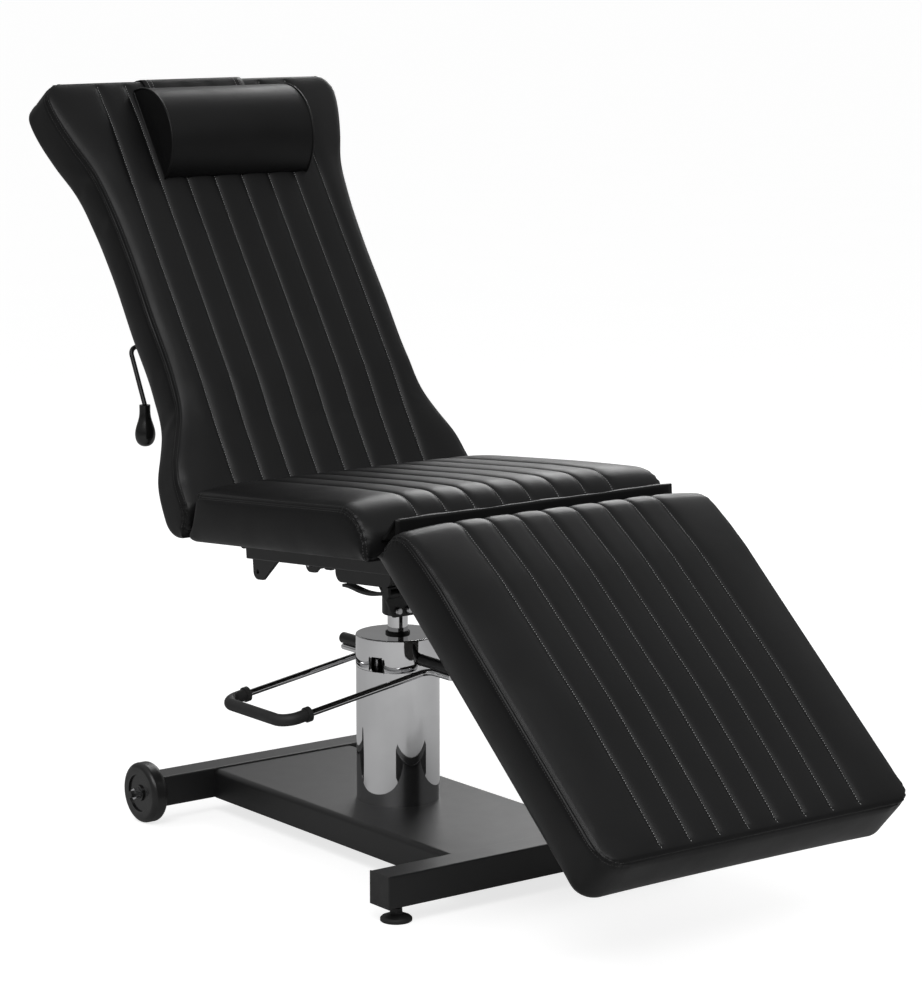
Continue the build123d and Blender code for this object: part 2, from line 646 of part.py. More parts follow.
def make_pedal_sleeves():
    """Sleeves on the stub axles, which the loop's ends are welded under."""
    sleeve = disc_y(PEDAL_SLEEVE_RADIUS, PEDAL_SLEEVE_START, PEDAL_SLEEVE_END, PEDAL_PIVOT_X, PEDAL_PIVOT_Z)
    inner_end = PEDAL_SLEEVE_END - PEDAL_SLEEVE_CLOSED_END
    sleeve -= disc_y(PEDAL_STUB_RADIUS, 0, inner_end, PEDAL_PIVOT_X, PEDAL_PIVOT_Z)
    return [sleeve, mirror(sleeve, Plane.XZ)]


def make_pedal_rocker():
    """Inside the cap: stub axles, two arms and the rod that presses the pump's plunger."""
    end_x = PEDAL_PIVOT_X - ROCKER_REACH
    rocker = disc_y(ROCKER_ROD_RADIUS, -ROCKER_ARM_OUTER, ROCKER_ARM_OUTER, end_x, PEDAL_PIVOT_Z)
    pivot_eye = Pos(PEDAL_PIVOT_X, PEDAL_PIVOT_Z) * Circle(ROCKER_ARM_HEIGHT / 2)
    end_eye = Pos(end_x, PEDAL_PIVOT_Z) * Circle(ROCKER_END_RADIUS)
    arm = Plane.XZ * make_hull((pivot_eye + end_eye).edges())
    stub_end = PEDAL_SLEEVE_END - PEDAL_SLEEVE_CLOSED_END
    for side in (-1, 1):
        rocker += Pos(0, side * (ROCKER_ARM_OUTER - ROCKER_ARM_THICKNESS / 2), 0) * extrude(
            arm, ROCKER_ARM_THICKNESS / 2, both=True
        )
        rocker += disc_y(PEDAL_STUB_RADIUS, side * PEDAL_STUB_START, side * stub_end, PEDAL_PIVOT_X, PEDAL_PIVOT_Z)
    return rocker


def make_pump_plunger():
    top = PEDAL_PIVOT_Z - ROCKER_ROD_RADIUS - SOFT_GAP
    return disc_z(PLUNGER_RADIUS, top - PLUNGER_LENGTH, top, x=PEDAL_PIVOT_X - ROCKER_REACH)


def make_pedal():
    pieces["pedal_loop"] = make_pedal_loop()
    pieces["pedal_grip"] = make_pedal_grip()
    pieces["pedal_sleeves"] = make_pedal_sleeves()
    pieces["pedal_rocker"] = make_pedal_rocker()
    pieces["pump_plunger"] = make_pump_plunger()


# Mount on the piston, which the seat turns with

BAR_BOTTOM_DROP = SEAT_PAD_HEIGHT + SIDE_BAR_HEIGHT
MOUNT_FOOT_DROP = BAR_BOTTOM_DROP + MOUNT_HEIGHT


def make_seat_mount():
    """A folded channel, open below, with rounded lower corners, and a hole that the socket is welded in."""
    half_width = MOUNT_WIDTH / 2
    half_length = MOUNT_LENGTH / 2
    shell = block(-half_width, half_width, -half_length, half_length, -MOUNT_FOOT_DROP, -BAR_BOTTOM_DROP)
    shell = fillet(shell.edges().filter_by(Axis.X).group_by(Axis.Z)[0], MOUNT_CORNER)
    shell = fillet(shell.edges().filter_by(Axis.Y).group_by(Axis.Z)[-1], MOUNT_BEND)
    inside = half_width - MOUNT_SHEET
    roof = -BAR_BOTTOM_DROP - MOUNT_SHEET
    return seat_frame * (shell - block(-inside, inside, -MOUNT_LENGTH, MOUNT_LENGTH, -2 * MOUNT_FOOT_DROP, roof))


def under_mount(shape):
    """What is left of a shape below the mount's roof."""
    side = MOUNT_LENGTH * 2
    roof = -BAR_BOTTOM_DROP - MOUNT_SHEET
    return shape - seat_frame * block(-side, side, -side, side, roof, roof + side)


def make_swivel_socket():
    roof = SEAT_TOP_AT_PUMP - BAR_BOTTOM_DROP
    tube = disc_z(SOCKET_RADIUS, SOCKET_BOTTOM, roof)
    tube = fillet(tube.edges().group_by(Axis.Z)[0], SOCKET_EDGE)
    half = SOCKET_PAD_WIDTH / 2
    pad = block(-half, half, -SOCKET_RADIUS, -SOCKET_RADIUS / 2, SOCKET_BOTTOM + SOCKET_EDGE,
                SOCKET_BOTTOM + SOCKET_EDGE + SOCKET_PAD_HEIGHT)
    socket = under_mount(tube + pad)
    return socket - disc_z(PISTON_RADIUS + RUNNING_FIT, SOCKET_BOTTOM - CUT_OVERRUN, PISTON_TOP + SOFT_GAP)


def gusset_bolt_places():
    height = SOCKET_BOTTOM + GUSSET_BOLT_RISE
    return [(count * GUSSET_BOLT_PITCH, height) for count in (-1, 0, 1)]


def make_gusset_plate():
    foot = SOCKET_BOTTOM + SOCKET_EDGE / 2
    slope_top = foot + GUSSET_SLOPE_HEIGHT
    roof = SEAT_TOP_AT_PUMP
    outline = Polyline(
        (-GUSSET_FOOT_WIDTH / 2, foot),
        (GUSSET_FOOT_WIDTH / 2, foot),
        (GUSSET_TOP_WIDTH / 2, slope_top),
        (GUSSET_TOP_WIDTH / 2, roof),
        (-GUSSET_TOP_WIDTH / 2, roof),
        (-GUSSET_TOP_WIDTH / 2, slope_top),
        close=True,
    )
    plate = Pos(0, -SOCKET_RADIUS, 0) * extrude(Plane.XZ * make_face(outline), GUSSET_THICKNESS)
    plate = under_mount(plate)
    front = -SOCKET_RADIUS - GUSSET_THICKNESS
    for x, z in gusset_bolt_places():
        plate -= disc_y(GUSSET_BOLT_RADIUS, front - CUT_OVERRUN, -SOCKET_RADIUS + CUT_OVERRUN, x, z)
    return plate


def make_gusset_bolts():
    front = -SOCKET_RADIUS - GUSSET_THICKNESS
    bolts = []
    for x, z in gusset_bolt_places():
        head = disc_y(GUSSET_BOLT_HEAD_RADIUS, front - GUSSET_BOLT_HEAD_HEIGHT, front, x, z)
        head = fillet(head.edges().filter_by(GeomType.CIRCLE).group_by(Axis.Y)[0], GUSSET_BOLT_HEAD_HEIGHT / 2)
        bolts.append(head + disc_y(GUSSET_BOLT_RADIUS, front, -SOCKET_RADIUS, x, z))
    return bolts


LOCK_X = -(MOUNT_WIDTH / 2 - LOCK_EAR_THICKNESS - PLATE_GAP - LOCK_WIDTH / 2)
LOCK_EYE_DROP = MOUNT_FOOT_DROP + LOCK_BRIDGE_THICKNESS + PLATE_GAP + LOCK_EYE_RADIUS


def make_lock_lever():
    """A flat steel lever, bellied between its pivot and its free end."""
    rear_top = -MOUNT_FOOT_DROP - LOCK_GAP
    belly_top = rear_top - LOCK_BELLY_DROP
    end_top = -LOCK_EYE_DROP + LOCK_THICKNESS / 2
    line = Spline(
        (LOCK_REAR, rear_top),
        (LOCK_BELLY_REAR, rear_top - LOCK_BELLY_DROP * LOCK_BELLY_REAR_SHARE),
        (LOCK_BELLY_FRONT, belly_top),
        (LOCK_PIVOT_Y, end_top),
        tangents=[(-1, 0), (-1, 0)],
    )
    under = Pos(0, -LOCK_THICKNESS) * line
    blade = make_face([line, under, Line(line @ 0, under @ 0), Line(line @ 1, under @ 1)])
    half = LOCK_WIDTH / 2
    lever = Pos(LOCK_X - half, 0, 0) * extrude(Plane.YZ * blade, LOCK_WIDTH)
    lever += disc_x(LOCK_EYE_RADIUS, LOCK_X - half, LOCK_X + half, LOCK_PIVOT_Y, -LOCK_EYE_DROP)
    hole = disc_x(LOCK_PIN_RADIUS + RUNNING_FIT, -MOUNT_WIDTH, 0, LOCK_PIVOT_Y, -LOCK_EYE_DROP)
    return seat_frame * (lever - hole)


def make_lock_bracket():
    """A clevis under the channel's flange, with the pin that the lock lever turns on."""
    inner = LOCK_WIDTH / 2 + PLATE_GAP
    outer = inner + LOCK_EAR_THICKNESS
    bridge_bottom = -MOUNT_FOOT_DROP - LOCK_BRIDGE_THICKNESS
    front = LOCK_PIVOT_Y - LOCK_EYE_RADIUS
    rear = LOCK_PIVOT_Y + LOCK_EYE_RADIUS
    bracket = block(LOCK_X - outer, LOCK_X + outer, front, rear, bridge_bottom, -MOUNT_FOOT_DROP)
    bracket += disc_x(LOCK_PIN_RADIUS, LOCK_X - outer, LOCK_X + outer, LOCK_PIVOT_Y, -LOCK_EYE_DROP)
    for x0, x1 in ((LOCK_X - outer, LOCK_X - inner), (LOCK_X + inner, LOCK_X + outer)):
        bracket += disc_x(LOCK_EYE_RADIUS, x0, x1, LOCK_PIVOT_Y, -LOCK_EYE_DROP)
        bracket += block(x0, x1, front, rear, -LOCK_EYE_DROP, bridge_bottom)
    return seat_frame * bracket


def make_mount():
    pieces["seat_mount"] = make_seat_mount()
    pieces["swivel_socket"] = make_swivel_socket()
    pieces["gusset_plate"] = make_gusset_plate()
    pieces["gusset_bolts"] = make_gusset_bolts()
    pieces["lock_lever"] = make_lock_lever()
    pieces["lock_lever_bracket"] = make_lock_bracket()


# Seat

BAR_CENTRE_DROP = SEAT_PAD_HEIGHT + SIDE_BAR_HEIGHT / 2
SIDE_BAR_INNER = SIDE_BAR_OUTER - SIDE_BAR_WIDTH


def frame_tube(length, width, height):
    """A frame tube along X with tight corners."""
    return box_tube(length, width, height, FRAME_WALL, FRAME_WALL + RUNNING_FIT)


def make_seat_side_bars():
    length = SIDE_BAR_REAR + SIDE_BAR_FRONT
    bar = Rot(0, 0, 90) * frame_tube(length, SIDE_BAR_WIDTH, SIDE_BAR_HEIGHT)
    x = SIDE_BAR_OUTER - SIDE_BAR_WIDTH / 2
    return pair(seat_frame * Pos(x, SIDE_BAR_REAR - length / 2, -BAR_CENTRE_DROP) * bar)


def make_seat_cross_tubes():
    """Four equal tubes; the front one is notched round the fixed arms of the ratchets."""
    front_y = -SIDE_BAR_FRONT + CROSS_TUBE_WIDTH / 2
    tube = frame_tube(2 * SIDE_BAR_INNER, CROSS_TUBE_WIDTH, SIDE_BAR_HEIGHT)
    rest = [Pos(0, y, -BAR_CENTRE_DROP) * tube for y in (-MOUNT_TUBE_REACH, MOUNT_TUBE_REACH, REAR_TUBE_Y)]
    front = Pos(0, front_y, -BAR_CENTRE_DROP) * tube
    notch_half = RATCHET_ARM_WIDTH / 2 + PLATE_GAP
    notch_depth = RATCHET_ARM_THICKNESS + PLATE_GAP
    top, bottom = notch_half - HINGE_DROP, -notch_half - HINGE_DROP
    for notch in pair(block(SIDE_BAR_INNER - notch_depth, SIDE_BAR_OUTER, -SEAT_FRONT, 0, bottom, top)):
        front -= notch
    return [seat_frame * piece for piece in [front] + rest]


def make_seat_cushion():
    """Side outline with a rolled front edge and a slanted rear face, padded over its board."""
    centre_y = -(SEAT_FRONT - SEAT_FRONT_ROUND)
    arc_mid = SEAT_FRONT_ROUND * math.sqrt(0.5)
    outline = [
        Line((SEAT_REAR_TOP, 0), (centre_y, 0)),
        ThreePointArc(
            (centre_y, 0),
            (centre_y - arc_mid, -SEAT_FRONT_ROUND + arc_mid),
            (-SEAT_FRONT, -SEAT_FRONT_ROUND),
        ),
        Line((-SEAT_FRONT, -SEAT_FRONT_ROUND), (-SEAT_FRONT, -SEAT_PAD_HEIGHT)),
        Line((-SEAT_FRONT, -SEAT_PAD_HEIGHT), (SEAT_REAR_BOTTOM, -SEAT_PAD_HEIGHT)),
        Line((SEAT_REAR_BOTTOM, -SEAT_PAD_HEIGHT), (SEAT_REAR_TOP, 0)),
    ]
    half = CUSHION_WIDTH / 2
    pad = Pos(-half, 0, 0) * extrude(Plane.YZ * make_face(outline), CUSHION_WIDTH)
    return seat_frame * (pad - seat_board_block())


def seat_board_block():
    half = CUSHION_WIDTH / 2 - BOARD_INSET
    rear = SEAT_REAR_TOP
    return block(-half, half, -SEAT_FRONT + BOARD_INSET, rear, -SEAT_PAD_HEIGHT, -SEAT_PAD_HEIGHT + BOARD_THICKNESS)


def make_hinge_lugs():
    """Four equal plates behind the rear tube: two carry the back, and two more hold the gas spring's foot."""
    hinge = (BACK_HINGE_Y, -HINGE_DROP)
    foot = (BACK_HINGE_Y, -HINGE_DROP - SPRING_FOOT_DROP)
    start = REAR_TUBE_Y + CROSS_TUBE_WIDTH / 2
    top = -HINGE_DROP + LUG_RADIUS
    bottom = foot[1] - LUG_RADIUS
    outline = [
        (start, top),
        (hinge[0], top),
        (hinge[0] + LUG_RADIUS, hinge[1]),
        (foot[0] + LUG_RADIUS, foot[1]),
        (foot[0], bottom),
        (foot[0] - LUG_RADIUS, bottom),
        (start, -BAR_BOTTOM_DROP),
    ]
    plate = plate_x(outline, 0, LUG_THICKNESS)
    for y, z, radius in (hinge + (HINGE_PIN_RADIUS,), foot + (SPRING_PIN_RADIUS,)):
        plate += disc_x(LUG_RADIUS, 0, LUG_THICKNESS, y, z)
        plate -= disc_x(radius, -CUT_OVERRUN, LUG_THICKNESS + CUT_OVERRUN, y, z)
    back_lug = BACK_TUBE_SPREAD - BACK_TUBE_WIDTH / 2 - PLATE_GAP - LUG_THICKNESS
    spring_lug = SPRING_LUG_SPREAD - LUG_THICKNESS
    lugs = []
    for x in (back_lug, spring_lug):
        lugs += pair(seat_frame * Pos(x, 0, 0) * plate)
    return lugs


def make_leg_lugs():
    """Plates ahead of the front tube that carry the leg rest's hinge pin."""
    start = -SIDE_BAR_FRONT
    top = -HINGE_DROP + LUG_RADIUS
    plate = plate_x(
        [(start, top), (LEG_HINGE_Y, top), (LEG_HINGE_Y, top - 2 * LUG_RADIUS), (start, top - 2 * LUG_RADIUS)],
        0,
        LUG_THICKNESS,
    )
    plate += disc_x(LUG_RADIUS, 0, LUG_THICKNESS, LEG_HINGE_Y, -HINGE_DROP)
    plate -= disc_x(HINGE_PIN_RADIUS, -CUT_OVERRUN, LUG_THICKNESS + CUT_OVERRUN, LEG_HINGE_Y, -HINGE_DROP)
    x = LEG_TUBE_SPREAD - LEG_TUBE_WIDTH / 2 - PLATE_GAP - LUG_THICKNESS
    return pair(seat_frame * Pos(x, 0, 0) * plate)


def make_hinge_pins():
    """Hinge pins of the back and of the leg rest, and the foot pin of the gas spring."""
    back_end = BACK_TUBE_SPREAD + BACK_TUBE_WIDTH / 2 + LUG_THICKNESS
    leg_end = SIDE_BAR_INNER
    foot_z = -HINGE_DROP - SPRING_FOOT_DROP
    foot_end = SPRING_LUG_SPREAD + SPRING_PIN_RADIUS
    back_pin = disc_x(HINGE_PIN_RADIUS, -back_end, back_end, BACK_HINGE_Y, -HINGE_DROP)
    leg_pin = disc_x(HINGE_PIN_RADIUS, -leg_end, leg_end, LEG_HINGE_Y, -HINGE_DROP)
    foot_pin = disc_x(SPRING_PIN_RADIUS, -foot_end, foot_end, BACK_HINGE_Y, foot_z)
    return [seat_frame * pin for pin in (back_pin, leg_pin, foot_pin)]


def ratchet_half(x0, direction):
    """A closed ratchet housing about the leg hinge with one flat arm, which runs along Y."""
    body = disc_x(RATCHET_RADIUS, x0, x0 + RATCHET_WIDTH)
    arm_x = x0 if direction < 0 else x0 + RATCHET_WIDTH - RATCHET_ARM_THICKNESS
    half = RATCHET_ARM_WIDTH / 2
    end = direction * RATCHET_ARM_LENGTH
    body += block(arm_x, arm_x + RATCHET_ARM_THICKNESS, 0, end, -half, half)
    body += disc_x(half, arm_x, arm_x + RATCHET_ARM_THICKNESS, end)
    return body - disc_x(HINGE_PIN_RADIUS + RUNNING_FIT, x0 - CUT_OVERRUN, x0 + RATCHET_WIDTH + CUT_OVERRUN)


def make_ratchets():
    """Fixed halves on the side bars' inner faces, moving halves on the leg tubes' outer faces."""
    leg_face = LEG_TUBE_SPREAD + LEG_TUBE_WIDTH / 2
    fixed = ratchet_half(SIDE_BAR_INNER - RATCHET_WIDTH, 1)
    moving = ratchet_half(leg_face, -1)
    hinge = Pos(0, LEG_HINGE_Y, -HINGE_DROP)
    pieces["ratchet_fixed_arms"] = pair(seat_frame * hinge * fixed)
    pieces["ratchet_moving_arms"] = pair(leg_frame * moving)


def make_seat():
    pieces["seat_side_bars"] = make_seat_side_bars()
    pieces["seat_cross_tubes"] = make_seat_cross_tubes()
    pieces["seat_cushion"] = make_seat_cushion()
    pieces["seat_board"] = seat_frame * seat_board_block()
    pieces["hinge_lugs"] = make_hinge_lugs()
    pieces["leg_lugs"] = make_leg_lugs()
    pieces["hinge_pins"] = make_hinge_pins()


# Back, in a frame whose Y runs up the back from its hinge and whose Z points to the sitter

BACK_REAR = HINGE_DROP - BACK_PAD_HEIGHT


def barrel_tube(spread, width, height, end, direction):
    """A frame tube along Y that ends in a barrel round the hinge pin."""
    start = BARREL_RADIUS / 2
    length = end - start
    tube = Pos(spread, direction * (start + length / 2), 0) * Rot(0, 0, 90) * frame_tube(length, width, height)
    tube += disc_x(BARREL_RADIUS, spread - width / 2, spread + width / 2)
    return tube - disc_x(HINGE_PIN_RADIUS + RUNNING_FIT, spread - width, spread + width)


def make_back_side_tubes():
    tube = barrel_tube(BACK_TUBE_SPREAD, BACK_TUBE_WIDTH, BACK_TUBE_HEIGHT, BACK_TUBE_TOP, 1)
    return pair(back_frame * tube)


def make_back_cross_tubes():
    inner = BACK_TUBE_SPREAD - BACK_TUBE_WIDTH / 2
    tube = frame_tube(2 * inner, BACK_TUBE_WIDTH, BACK_TUBE_HEIGHT)
    return [back_frame * Pos(0, t, 0) * tube for t in BACK_CROSS_TUBES]


def back_outline(inset):
    """The hourglass outline of the back, as a face in X and Y."""
    half = CUSHION_WIDTH / 2 - inset
    low = inset
    high = BACK_LENGTH - inset
    right = [(half * width, low + (high - low) * along) for along, width in BACK_OUTLINE_SHARES]
    left = [(-x, y) for x, y in reversed(right)]
    first, last = right[0], right[-1]
    side = Spline(*right)
    other = Spline(*left)
    bottom_right = (first[0], low)
    bottom_left = (-first[0], low)
    edges = [
        Line(bottom_right, first),
        side,
        Line(last, left[0]),
        other,
        Line(left[-1], bottom_left),
        Line(bottom_left, bottom_right),
    ]
    return make_face(edges)


def back_slab(inset, z0, z1):
    return Pos(0, 0, z0) * extrude(back_outline(inset), z1 - z0)


def make_back_cushion():
    """The outline, with a rounded lower end and rounded upper corners."""
    pad = back_slab(0, BACK_REAR, HINGE_DROP)
    top_corners = pad.edges().filter_by(Axis.Z).group_by(Axis.Y)[-1]
    pad = fillet(top_corners, BACK_CORNER)
    middle = (BACK_REAR + HINGE_DROP) / 2
    half = CUSHION_WIDTH
    rounding = block(-half, half, 0, BACK_END_RADIUS, BACK_REAR, HINGE_DROP)
    rounding -= disc_x(BACK_END_RADIUS, -half, half, BACK_END_RADIUS, middle)
    return back_frame * (pad - rounding - back_board_block())


def back_board_block():
    board = back_slab(BOARD_INSET, BACK_REAR, BACK_REAR + BOARD_THICKNESS)
    half = CUSHION_WIDTH
    return board - block(-half, half, 0, BACK_END_RADIUS, 0, HINGE_DROP)


def make_headrest():
    """A half-round bolster on a strap that loops over the top of the back."""
    face = HINGE_DROP + SOFT_GAP
    radius = (BOLSTER_CHORD ** 2 / 4 + BOLSTER_HEIGHT ** 2) / (2 * BOLSTER_HEIGHT)
    base = face + STRAP_THICKNESS + SOFT_GAP
    centre = base + BOLSTER_HEIGHT - radius
    half = BOLSTER_WIDTH / 2
    bolster = disc_x(radius, -half, half, BOLSTER_T, centre)
    bolster -= block(-2 * half, 2 * half, BOLSTER_T - 2 * radius, BOLSTER_T + 2 * radius, base - 2 * radius, base)
    pieces["headrest_bolster"] = back_frame * Pos(BOLSTER_OFFSET, 0, 0) * bolster
    top = BACK_LENGTH + SOFT_GAP
    rear = BACK_REAR - SOFT_GAP
    half = STRAP_WIDTH / 2
    outer = block(-half, half, STRAP_FRONT_T, top + STRAP_THICKNESS, rear - STRAP_THICKNESS, face + STRAP_THICKNESS)
    outer = fillet(outer.edges().filter_by(Axis.X).group_by(Axis.Y)[-1], STRAP_CORNER)
    inner = block(-2 * half, 2 * half, 0, top, rear, face)
    below = block(-2 * half, 2 * half, 0, STRAP_REAR_T, rear - 2 * STRAP_THICKNESS, face)
    pieces["headrest_strap"] = back_frame * (outer - inner - below)


# Release lever and gas spring

def make_spring_brackets():
    """Two ears for the gas spring's head, which also carry the release shaft, and an outer shaft bearing."""
    tube_back = -BACK_TUBE_HEIGHT / 2
    pin = (SPRING_HEAD_T, -SPRING_HEAD_DEPTH)
    shaft = (RELEASE_T, -RELEASE_DEPTH)
    half = BACK_TUBE_WIDTH / 2
    outline = [
        (pin[0] - half, tube_back),
        (pin[0] + half, tube_back),
        (shaft[0] + EAR_MARGIN, shaft[1] + EAR_MARGIN / 2),
        (shaft[0] + EAR_MARGIN, shaft[1] - EAR_MARGIN),
        (shaft[0] - EAR_MARGIN, shaft[1] - EAR_MARGIN),
        (pin[0] - half, pin[1] - EAR_MARGIN),
    ]
    ear = plate_x(outline, 0, EAR_THICKNESS)
    shaft_hole = disc_x(RELEASE_ROD_RADIUS + RUNNING_FIT, -CUT_OVERRUN, EAR_THICKNESS + CUT_OVERRUN, *shaft)
    ear -= shaft_hole
    ear -= disc_x(SPRING_PIN_RADIUS, -CUT_OVERRUN, EAR_THICKNESS + CUT_OVERRUN, *pin)
    inner = EAR_SPREAD - EAR_THICKNESS
    ears = pair(Pos(inner, 0, 0) * ear)
    bearing_outline = [
        (shaft[0] - half, tube_back),
        (shaft[0] + half, tube_back),
        (shaft[0] + EAR_MARGIN, shaft[1] - EAR_MARGIN),
        (shaft[0] - EAR_MARGIN, shaft[1] - EAR_MARGIN),
    ]
    bearing = plate_x(bearing_outline, 0, EAR_THICKNESS) - shaft_hole
    ears.append(Pos(-RELEASE_BEARING_X, 0, 0) * bearing)
    return [back_frame * ear for ear in ears]


def make_spring_head_pin():
    end = EAR_SPREAD + SPRING_PIN_RADIUS
    return back_frame * disc_x(SPRING_PIN_RADIUS, -end, end, SPRING_HEAD_T, -SPRING_HEAD_DEPTH)


def make_release_rod():
    """Cross shaft and lever arm in one bent rod, with the finger that presses the valve."""
    shaft = (RELEASE_T, -RELEASE_DEPTH)
    path = FilletPolyline(
        (RELEASE_SHAFT_INNER, shaft[0], shaft[1]),
        (-RELEASE_LEVER_X, shaft[0], shaft[1]),
        (-RELEASE_LEVER_X, RELEASE_ARM_T, -RELEASE_ARM_DEPTH),
        radius=RELEASE_BEND,
    )
    rod = swept_bar(path, RELEASE_ROD_RADIUS)
    half = RELEASE_FINGER_WIDTH / 2
    valve_top = SPRING_HEAD_T + HEAD_ABOVE + VALVE_SHOW + SOFT_GAP
    finger = block(-half, half, valve_top, valve_top + RELEASE_FINGER_THICKNESS, shaft[1],
                   shaft[1] + RELEASE_FINGER_REACH)
    hub = disc_x(RELEASE_ROD_RADIUS + RELEASE_FINGER_THICKNESS, -half, half, *shaft)
    return back_frame * (rod + finger + hub)


def make_release_knob():
    """A pear-shaped knob that hangs straight down from the end of the lever arm."""
    outline = [
        Line((0, 0), (KNOB_NECK_RADIUS, 0)),
        Spline(
            (KNOB_NECK_RADIUS, 0),
            (KNOB_WAIST_RADIUS, -KNOB_LENGTH * KNOB_WAIST_SHARE),
            (KNOB_RADIUS, -KNOB_LENGTH * KNOB_BELLY_SHARE),
            (0, -KNOB_LENGTH),
            tangents=[(0, -1), (-1, 0)],
        ),
        Line((0, -KNOB_LENGTH), (0, 0)),
    ]
    knob = revolve(Plane.XZ * make_face(outline), Axis.Z)
    arm_angle = math.degrees(math.atan2(RELEASE_ARM_DEPTH - RELEASE_DEPTH, RELEASE_T - RELEASE_ARM_T))
    place = back_frame * Pos(-RELEASE_LEVER_X, RELEASE_ARM_T, -RELEASE_ARM_DEPTH) * Rot(-BACK_ANGLE, 0, 0)
    arm = Rot(BACK_ANGLE - 90 + arm_angle, 0, 0) * disc_z(RELEASE_ROD_RADIUS, -KNOB_OVERLAP, KNOB_OVERLAP)
    return place * (knob - arm)


def make_gas_cylinder():
    """A tube with a foot eye and a guide that the rod slides through."""
    body = disc_y(CYLINDER_RADIUS, CYLINDER_START, CYLINDER_END)
    body = fillet(body.edges().group_by(Axis.Y)[0], CYLINDER_END_ROUND)
    bore = CYLINDER_RADIUS - CYLINDER_WALL
    body -= disc_y(bore, CYLINDER_START + CYLINDER_GUIDE, CYLINDER_END - CYLINDER_GUIDE)
    body -= disc_y(ROD_RADIUS + RUNNING_FIT, CYLINDER_END - 2 * CYLINDER_GUIDE, CYLINDER_END + CUT_OVERRUN)
    half = EYE_WIDTH / 2
    body += disc_x(EYE_RADIUS, -half, half)
    body += block(-half, half, 0, CYLINDER_START + CYLINDER_WALL, -EYE_RADIUS / 2, EYE_RADIUS / 2)
    return spring_frame * (body - disc_x(SPRING_PIN_RADIUS + RUNNING_FIT, -EYE_WIDTH, EYE_WIDTH))


def make_gas_rod():
    head_start = SPRING_LENGTH - HEAD_BELOW
    piston = CYLINDER_RADIUS - CYLINDER_WALL - RUNNING_FIT
    rod = disc_y(ROD_RADIUS, ROD_INNER_END, head_start)
    return spring_frame * (rod + disc_y(piston, ROD_INNER_END - ROD_PISTON_LENGTH, ROD_INNER_END))


def make_gas_head():
    """The block on the rod's end: its wide cross hole is the pivot that is left open."""
    half = HEAD_WIDTH / 2
    block_end = SPRING_LENGTH + HEAD_ABOVE
    head = block(-half, half, SPRING_LENGTH - HEAD_BELOW, block_end, -HEAD_RADIUS, HEAD_RADIUS)
    head = fillet(head.edges().filter_by(Axis.X), HEAD_EDGE)
    head -= disc_x(SPRING_PIN_RADIUS + OPEN_PIVOT_CLEARANCE, -HEAD_WIDTH, HEAD_WIDTH, SPRING_LENGTH)
    head -= disc_y(VALVE_RADIUS + RUNNING_FIT, SPRING_LENGTH, block_end + CUT_OVERRUN)
    return spring_frame * head


def make_valve_pin():
    start = SPRING_LENGTH + SPRING_PIN_RADIUS + OPEN_PIVOT_CLEARANCE + VALVE_INNER_GAP
    return spring_frame * disc_y(VALVE_RADIUS, start, SPRING_LENGTH + HEAD_ABOVE + VALVE_SHOW)


def make_back():
    pieces["back_side_tubes"] = make_back_side_tubes()
    pieces["back_cross_tubes"] = make_back_cross_tubes()
    pieces["back_cushion"] = make_back_cushion()
    pieces["back_board"] = back_frame * back_board_block()
    make_headrest()
    pieces["spring_brackets"] = make_spring_brackets()
    pieces["spring_head_pin"] = make_spring_head_pin()
    pieces["release_rod"] = make_release_rod()
    pieces["release_knob"] = make_release_knob()
    pieces["gas_cylinder"] = make_gas_cylinder()
    pieces["gas_rod"] = make_gas_rod()
    pieces["gas_head"] = make_gas_head()
    pieces["valve_pin"] = make_valve_pin()


# Leg rest, in a frame whose -Y runs down the leg rest from its hinge

LEG_REAR = HINGE_DROP - LEG_PAD_HEIGHT


def make_leg_side_tubes():
    tube = barrel_tube(LEG_TUBE_SPREAD, LEG_TUBE_WIDTH, LEG_TUBE_HEIGHT, LEG_TUBE_END, -1)
    return pair(leg_frame * tube)


def make_leg_cross_tubes():
    inner = LEG_TUBE_SPREAD - LEG_TUBE_WIDTH / 2
    tube = frame_tube(2 * inner, LEG_TUBE_WIDTH, LEG_TUBE_HEIGHT)
    return [leg_frame * Pos(0, -t, 0) * tube for t in LEG_CROSS_TUBES]


def leg_board_block():
    half = CUSHION_WIDTH / 2 - BOARD_INSET
    top = LEG_REAR + BOARD_THICKNESS
    return block(-half, half, -LEG_END + BOARD_INSET, -LEG_START - BOARD_INSET, LEG_REAR, top)


def make_leg_cushion():
    """A flat pad whose upper end reaches over the hinge and rolls down towards the seat."""
    half = CUSHION_WIDTH / 2
    pad = block(-half, half, -LEG_END, -LEG_START, LEG_REAR, HINGE_DROP)
    pad = fillet(pad.edges().filter_by(Axis.Z), LEG_CORNER)
    pad = fillet(pad.faces().sort_by(Axis.Z)[-1].edges(), LEG_EDGE)
    y, z = -LEG_START - LEG_UPPER_ROUND, HINGE_DROP - LEG_UPPER_ROUND
    corner = block(-half, half, y, -LEG_START + CUT_OVERRUN, z, HINGE_DROP + CUT_OVERRUN)
    corner -= disc_x(LEG_UPPER_ROUND, -half, half, y, z)
    return leg_frame * (pad - corner - leg_board_block())


def make_leg_flap():
    """A leatherette strip on the leg rest's upper end that covers the gap to the seat."""
    half = FLAP_WIDTH / 2
    end = -LEG_START + SOFT_GAP
    top = HINGE_DROP - FLAP_SET_DOWN
    leaf = block(-half, half, end, end + FLAP_REACH, top - FLAP_THICKNESS, top)
    drop = block(-half, half, end, end + FLAP_THICKNESS, top - FLAP_DROP, top)
    return leg_frame * (leaf + drop)


